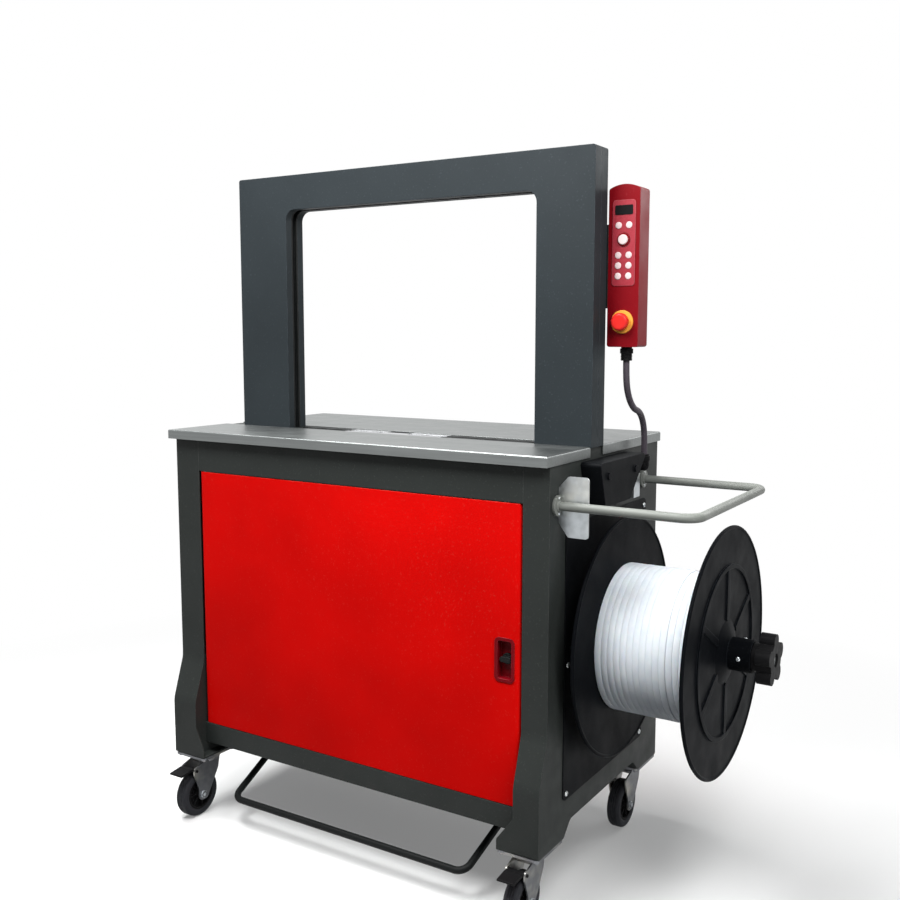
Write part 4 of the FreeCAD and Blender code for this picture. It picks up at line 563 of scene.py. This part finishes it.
def castor_tyre(centre, radius, rim, half):
    """Rubber tyre with round shoulders and tread grooves, as a ring."""
    side = [(-half + 0.002, rim), (-half, rim + 0.003)]
    shoulder = arc((-half + TYRE_CROWN, radius - TYRE_CROWN), TYRE_CROWN, 180, 90, 6)
    groove = ((-0.0009, 0.0), (-0.0006, TREAD_GROOVE), (0.0006, TREAD_GROOVE), (0.0009, 0.0))
    tread = [(place + offset, radius - depth) for place in GROOVE_PLACES for offset, depth in groove]
    mirrored = [(-height, reach) for height, reach in reversed(side + shoulder)]
    bm = bmesh.new()
    turned(bm, centre, "x", side + shoulder + tread + mirrored, 72, closed=True)
    return bm


def hub_rib(bm, centre, angle, reach):
    """One radial rib of the hub, from its sleeve to its rim."""
    along, right, up = AXES["x"]
    outward = right * math.cos(angle) + up * math.sin(angle)
    around = -right * math.sin(angle) + up * math.cos(angle)
    length, width = RIB_HALF_LENGTH, RIB_HALF_WIDTH
    before = len(bm.verts)
    plate(bm, "xy", [(-length, -width), (length, -width), (length, width), (-length, width)], RIB_FOOT, reach)
    bm.verts.ensure_lookup_table()
    for vert in bm.verts[before:]:
        a, b, c = vert.co
        vert.co = centre + along * a + around * b + outward * c


def castor_hub(centre, rim, half):
    """Hub with rim, web, ribs and bearing covers."""
    bm = bmesh.new()
    lip = rim + 0.0002
    foot = rim - RIM_DEPTH
    edge = half - RIM_INSET
    turned(bm, centre, "x", [(-edge, foot), (-edge, lip), (edge, lip), (edge, foot)], 72, closed=True)
    reach = rim - WEB_DEPTH
    web = [(-WEB_HALF, WEB_BORE), (-WEB_HALF, reach), (WEB_HALF, reach), (WEB_HALF, WEB_BORE)]
    turned(bm, centre, "x", web, 48, closed=True)
    cover = [(-HUB_HALF, BEARING_BORE), (-HUB_HALF, 0.0100), (-HUB_HALF + 0.001, 0.0115), (-0.006, 0.0125)]
    sleeve = cover + [(-height, radius) for height, radius in reversed(cover)]
    turned(bm, centre, "x", sleeve, 36, closed=True)
    for i in range(HUB_RIBS):
        hub_rib(bm, centre, 2 * math.pi * (i + 0.5) / HUB_RIBS, reach)
    return bm


def castor_wheel(corner):
    """Rubber tyre on a ribbed hub."""
    node = "castor_wheel_" + corner
    body = "wheel_" + corner
    low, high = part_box(node)
    centre = (low + high) / 2
    radius = (high.z - low.z) / 2
    rim = radius - TYRE_DEPTH
    half = HUB_HALF - TYRE_INSET
    piece("tyre_" + corner, castor_tyre(centre, radius, rim, half), "tyre", body, node)
    piece("hub_" + corner, castor_hub(centre, rim, half), "black_plastic", body, node)


def axle_nuts(corner):
    """Domed hexagon nuts on both ends of a castor's axle."""
    centre = middle("castor_wheel_" + corner)
    bm = bmesh.new()
    nut = [(0.0, AXLE_NUT, 6), (0.0026, AXLE_NUT, 6), (0.0032, AXLE_NUT * 0.93, 0),
           (0.0036, 0.0045), (0.0044, 0.0028)]
    for side in (-1.0, 1.0):
        seat = centre + Vector((side * FORK_REACH, 0.0, 0.0))
        turned(bm, seat, "x", nut, 36, flip=side)
    piece("axle_nuts_" + corner, bm, "zinc", "castor_" + corner)


# Strap winding

def strap_section(pitch):
    """Section of the strap: flat inside, with its outer edges rounded off."""
    half = (pitch - TURN_GAP) / 2
    corner = STRAP_THICKNESS * 0.4
    return [(-half, -STRAP_THICKNESS), (-half, -corner), (-half + STRAP_EDGE, 0.0),
            (half - STRAP_EDGE, 0.0), (half, -corner), (half, -STRAP_THICKNESS)]


def ribbon(bm, uv, centre, start, pitch, turns, radius, first, last):
    """Adds one layer of strap, wound as a helix between two places, as a closed flat band."""
    section = strap_section(pitch)
    dips = [random.uniform(0.0, LARGEST_DIP) for _ in range(turns + 2)]
    rings = []
    for k in range(turns * STEPS_PER_TURN + 1):
        lap = k / STEPS_PER_TURN
        offset = min(max(start + pitch * lap, first), last) - centre.x
        share = lap - int(lap)
        reach = radius - dips[int(lap)] * (1 - share) - dips[int(lap) + 1] * share
        angle = 2 * math.pi * lap
        out = Vector((0.0, math.cos(angle), math.sin(angle)))
        spots = [centre + Vector((offset + a, 0.0, 0.0)) + out * (reach + r) for a, r in section]
        rings.append([bm.verts.new(spot) for spot in spots])
    count = len(section)
    for k in range(len(rings) - 1):
        for i in range(count):
            j = (i + 1) % count
            face = bm.faces.new((rings[k][i], rings[k][j], rings[k + 1][j], rings[k + 1][i]))
            for loop, step, side in zip(face.loops, (k, k, k + 1, k + 1), (i, j, j, i)):
                loop[uv].uv = (step / STEPS_PER_TURN * 2 * math.pi * radius, section[side][0])
    bm.faces.new(rings[0])
    bm.faces.new(rings[-1])


def strap_winding():
    """Two outer layers of separate strap turns over the solid body of the coil."""
    low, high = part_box("strap_coil")
    centre = (low + high) / 2
    radius = (high.z - low.z) / 2
    hub_low, hub_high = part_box("reel_hub")
    core = (hub_high.z - hub_low.z) / 2 - CORE_DEPTH
    width = high.x - low.x
    turns = round(width / STRAP_WIDTH)
    pitch = width / turns
    first, last = low.x + pitch / 2, high.x - pitch / 2
    bm = bmesh.new()
    uv = bm.loops.layers.uv.new("run")
    ribbon(bm, uv, centre, low.x, pitch, turns, radius - UNDER_LAYER_DEPTH, first, last)
    ribbon(bm, uv, centre, low.x, pitch, OUTER_LAYER_TURNS, radius, first, last)
    body = radius - COIL_BODY_DEPTH
    half = width / 2
    turned(bm, centre, "x", [(-half, core), (-half, body), (half, body), (half, core)], 96, closed=True)
    piece("strap_winding", bm, "strap", "reel", "strap_coil")


# Fasteners

def socket_head(bm, seat, axis, flip, radius=SCREW_RADIUS, height=SCREW_HEIGHT):
    """Button head with a hexagon socket."""
    socket = radius * 0.42
    profile = [(0.0, radius), (height * 0.25, radius), (height * 0.62, radius * 0.88),
               (height * 0.9, radius * 0.66), (height, radius * 0.5), (height, socket, 6),
               (height * 0.3, socket, 6), (height * 0.2, socket * 0.3)]
    turned(bm, seat, axis, profile, 24, flip=flip)


def panel_screws():
    """Socket heads in place of the plain heads of the panel screws."""
    bm = bmesh.new()
    for low, high in islands("panel_screws"):
        size = high - low
        centre = (low + high) / 2
        axis = min(range(3), key=lambda k: size[k])
        side = 1.0 if centre[axis] > 0 else -1.0
        seat = centre.copy()
        seat[axis] = low[axis] if side > 0 else high[axis]
        socket_head(bm, seat, "xyz"[axis], side)
    piece("panel_screw_heads", bm, "zinc", "frame", "panel_screws")


def arch_screws():
    """Fasteners of the rear half casing, along both legs and the beam."""
    low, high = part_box("arch_rear_shell")
    legs = (low.x + ARCH_SCREW_INSET, high.x - ARCH_SCREW_RIGHT_INSET)
    pitch = (high.x - low.x - ARCH_SCREW_INSET * 2) / (ARCH_BEAM_SCREWS - 1)
    heights = [low.z + ARCH_LEG_START + ARCH_LEG_PITCH * k for k in range(ARCH_LEG_SCREWS)]
    places = [(x, z) for x in legs for z in heights]
    places += [(legs[0] + pitch * k, high.z - ARCH_SCREW_DROP) for k in range(ARCH_BEAM_SCREWS)]
    bm = bmesh.new()
    for x, z in places:
        socket_head(bm, Vector((x, high.y, z)), "y", 1.0, *ARCH_SCREW_SIZE)
    piece("arch_screw_heads", bm, "zinc", "frame")


def boss_screws():
    """Set screws round the boss of the reel's outer flange."""
    centre = middle("strap_coil")
    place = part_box("reel_outer_flange")[1].x - BOSS_SCREW_INSET
    seat = Vector((place, centre.y - BOSS_RADIUS, centre.z))
    bm = bmesh.new()
    for i in range(BOSS_SCREWS):
        before = len(bm.verts)
        socket_head(bm, seat, "y", -1.0, *BOSS_SCREW_SIZE)
        bm.verts.ensure_lookup_table()
        turn = Matrix.Rotation(2 * math.pi * i / BOSS_SCREWS, 3, "X")
        bmesh.ops.rotate(bm, cent=centre, matrix=turn, verts=bm.verts[before:])
    piece("boss_set_screws", bm, "zinc", "reel")


def rail_welds():
    """Weld beads and screws where the guard rail's legs meet their flanges."""
    low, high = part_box("guard_rail")
    face = low.x + FLANGE_THICKNESS
    height = high.z - FLANGE_RADIUS
    beads = bmesh.new()
    screws = bmesh.new()
    bead = [(-0.0002, RAIL_RADIUS - 0.0005), (-0.0002, RAIL_RADIUS + 0.0030),
            (0.0010, RAIL_RADIUS + 0.0022), (0.0022, RAIL_RADIUS + 0.0010),
            (0.0030, RAIL_RADIUS - 0.0005)]
    for y in (low.y + FLANGE_RADIUS, high.y - FLANGE_RADIUS):
        centre = Vector((face, y, height))
        turned(beads, centre, "x", bead, 48, closed=True)
        for side in (-1.0, 1.0):
            seat = centre + Vector((0.0, 0.0, side * FLANGE_SCREW_CIRCLE))
            socket_head(screws, seat, "x", 1.0, *FLANGE_SCREW_SIZE)
    piece("rail_weld_beads", beads, "rail_grey", "frame")
    piece("rail_flange_screws", screws, "zinc", "frame")


def gland_ribs():
    """Gripping ribs round the two cable glands."""
    bm = bmesh.new()
    rib = [(-0.0008, 0.0097), (-0.0005, 0.0108), (0.0005, 0.0108), (0.0008, 0.0097)]
    for end, lowest, count in GLANDS:
        for k in range(count):
            place = Vector(end) + Vector((0.0, 0.0, lowest + GLAND_RIB_PITCH * k))
            turned(bm, place, "z", rib, 36, closed=True)
    piece("gland_ribs", bm, "black_plastic", "frame")


# Operator box

def keypad_keys():
    """Raised keys and a display window on the membrane."""
    low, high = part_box("control_keypad")
    x = (low.x + high.x) / 2
    face = low.y
    rows = [low.z + KEY_ROW_START + KEY_ROW_PITCH * k for k in range(KEY_ROWS)]
    rows.append(high.z - UPPER_KEYS_DROP)
    bm = bmesh.new()
    for row in rows:
        for side in (-1, 1):
            turned(bm, Vector((x + side * KEY_SPREAD, face, row)), "y", KEY_PROFILE, 28, flip=-1.0)
    piece("keypad_keys", bm, "ivory", "frame")

    bm = bmesh.new()
    left, right = x - DISPLAY_HALF_WIDTH, x + DISPLAY_HALF_WIDTH
    top = high.z - DISPLAY_DROP
    window = rounded(left, right, top - DISPLAY_HEIGHT, top, DISPLAY_CORNER)
    plate(bm, "xz", window, face, face - DISPLAY_THICKNESS, DISPLAY_SOFTENING)
    piece("display_window", bm, "black_plastic", "frame")


# Stage and lights

def background_rays(tree):
    """1 for camera, glossy and transmission rays."""
    path = tree.nodes.new("ShaderNodeLightPath")
    total = path.outputs["Is Camera Ray"]
    for name in ("Is Glossy Ray", "Is Transmission Ray"):
        node = tree.nodes.new("ShaderNodeMath")
        node.operation = "MAXIMUM"
        tree.links.new(total, node.inputs[0])
        tree.links.new(path.outputs[name], node.inputs[1])
        total = node.outputs[0]
    return total


def add_world():
    """Even light on the object in front of a white background."""
    world = bpy.data.worlds.new("studio")
    world.use_nodes = True
    tree = world.node_tree
    tree.nodes.clear()
    ambient = tree.nodes.new("ShaderNodeBackground")
    ambient.inputs["Color"].default_value = (0.94, 0.97, 1.0, 1.0)
    ambient.inputs["Strength"].default_value = AMBIENT
    white = tree.nodes.new("ShaderNodeBackground")
    white.inputs["Strength"].default_value = 1.0
    white.inputs["Color"].default_value = WHITE
    mix = tree.nodes.new("ShaderNodeMixShader")
    tree.links.new(background_rays(tree), mix.inputs[0])
    tree.links.new(ambient.outputs[0], mix.inputs[1])
    tree.links.new(white.outputs[0], mix.inputs[2])
    out = tree.nodes.new("ShaderNodeOutputWorld")
    tree.links.new(mix.outputs[0], out.inputs[0])
    scene.world = world


def add_floor():
    """Pale floor that keeps the shadow near the object and fades into the white further out."""
    bm = bmesh.new()
    bmesh.ops.create_grid(bm, x_segments=1, y_segments=1, size=FLOOR_HALF)
    mesh = bpy.data.meshes.new("floor")
    bm.to_mesh(mesh)
    bm.free()
    floor = bpy.data.objects.new("floor", mesh)
    scene.collection.objects.link(floor)
    s = Surface("floor", Specular_IOR_Level=0.0)
    s.colour((0.90, 0.905, 0.90, 1.0))
    s.rough(0.9)
    distance = s.tree.nodes.new("ShaderNodeVectorMath")
    distance.operation = "LENGTH"
    s.tree.links.new(s.place, distance.inputs[0])
    fade = s.span(distance.outputs["Value"], FADE_START, FADE_END, WHITE_NEAR_OBJECT, 1.0)
    white = s.tree.nodes.new("ShaderNodeEmission")
    white.inputs["Strength"].default_value = 1.0
    white.inputs["Color"].default_value = WHITE
    mix = s.tree.nodes.new("ShaderNodeMixShader")
    s.tree.links.new(s.math("MULTIPLY", background_rays(s.tree), fade), mix.inputs[0])
    s.tree.links.new(s.shader.outputs[0], mix.inputs[1])
    s.tree.links.new(white.outputs[0], mix.inputs[2])
    s.tree.links.new(mix.outputs[0], s.tree.nodes["Material Output"].inputs[0])
    mesh.materials.append(s.material)
    floor.visible_diffuse = False


def add_lamp(name, place, target, size, power):
    data = bpy.data.lights.new(name, "AREA")
    data.shape = "DISK"
    data.size = size
    data.energy = power
    lamp = bpy.data.objects.new(name, data)
    lamp.location = place
    lamp.rotation_euler = (Vector(target) - Vector(place)).to_track_quat("-Z", "Y").to_euler()
    scene.collection.objects.link(lamp)


def light_stage():
    add_world()
    add_floor()
    for name, (place, target, size, power) in LAMPS.items():
        add_lamp(name, place, target, size, power)
    scene.view_settings.view_transform = "Standard"


# Pieces

for corner in CORNERS:
    castor_wheel(corner)
    axle_nuts(corner)
strap_winding()
panel_screws()
arch_screws()
boss_screws()
rail_welds()
gland_ribs()
keypad_keys()
light_stage()
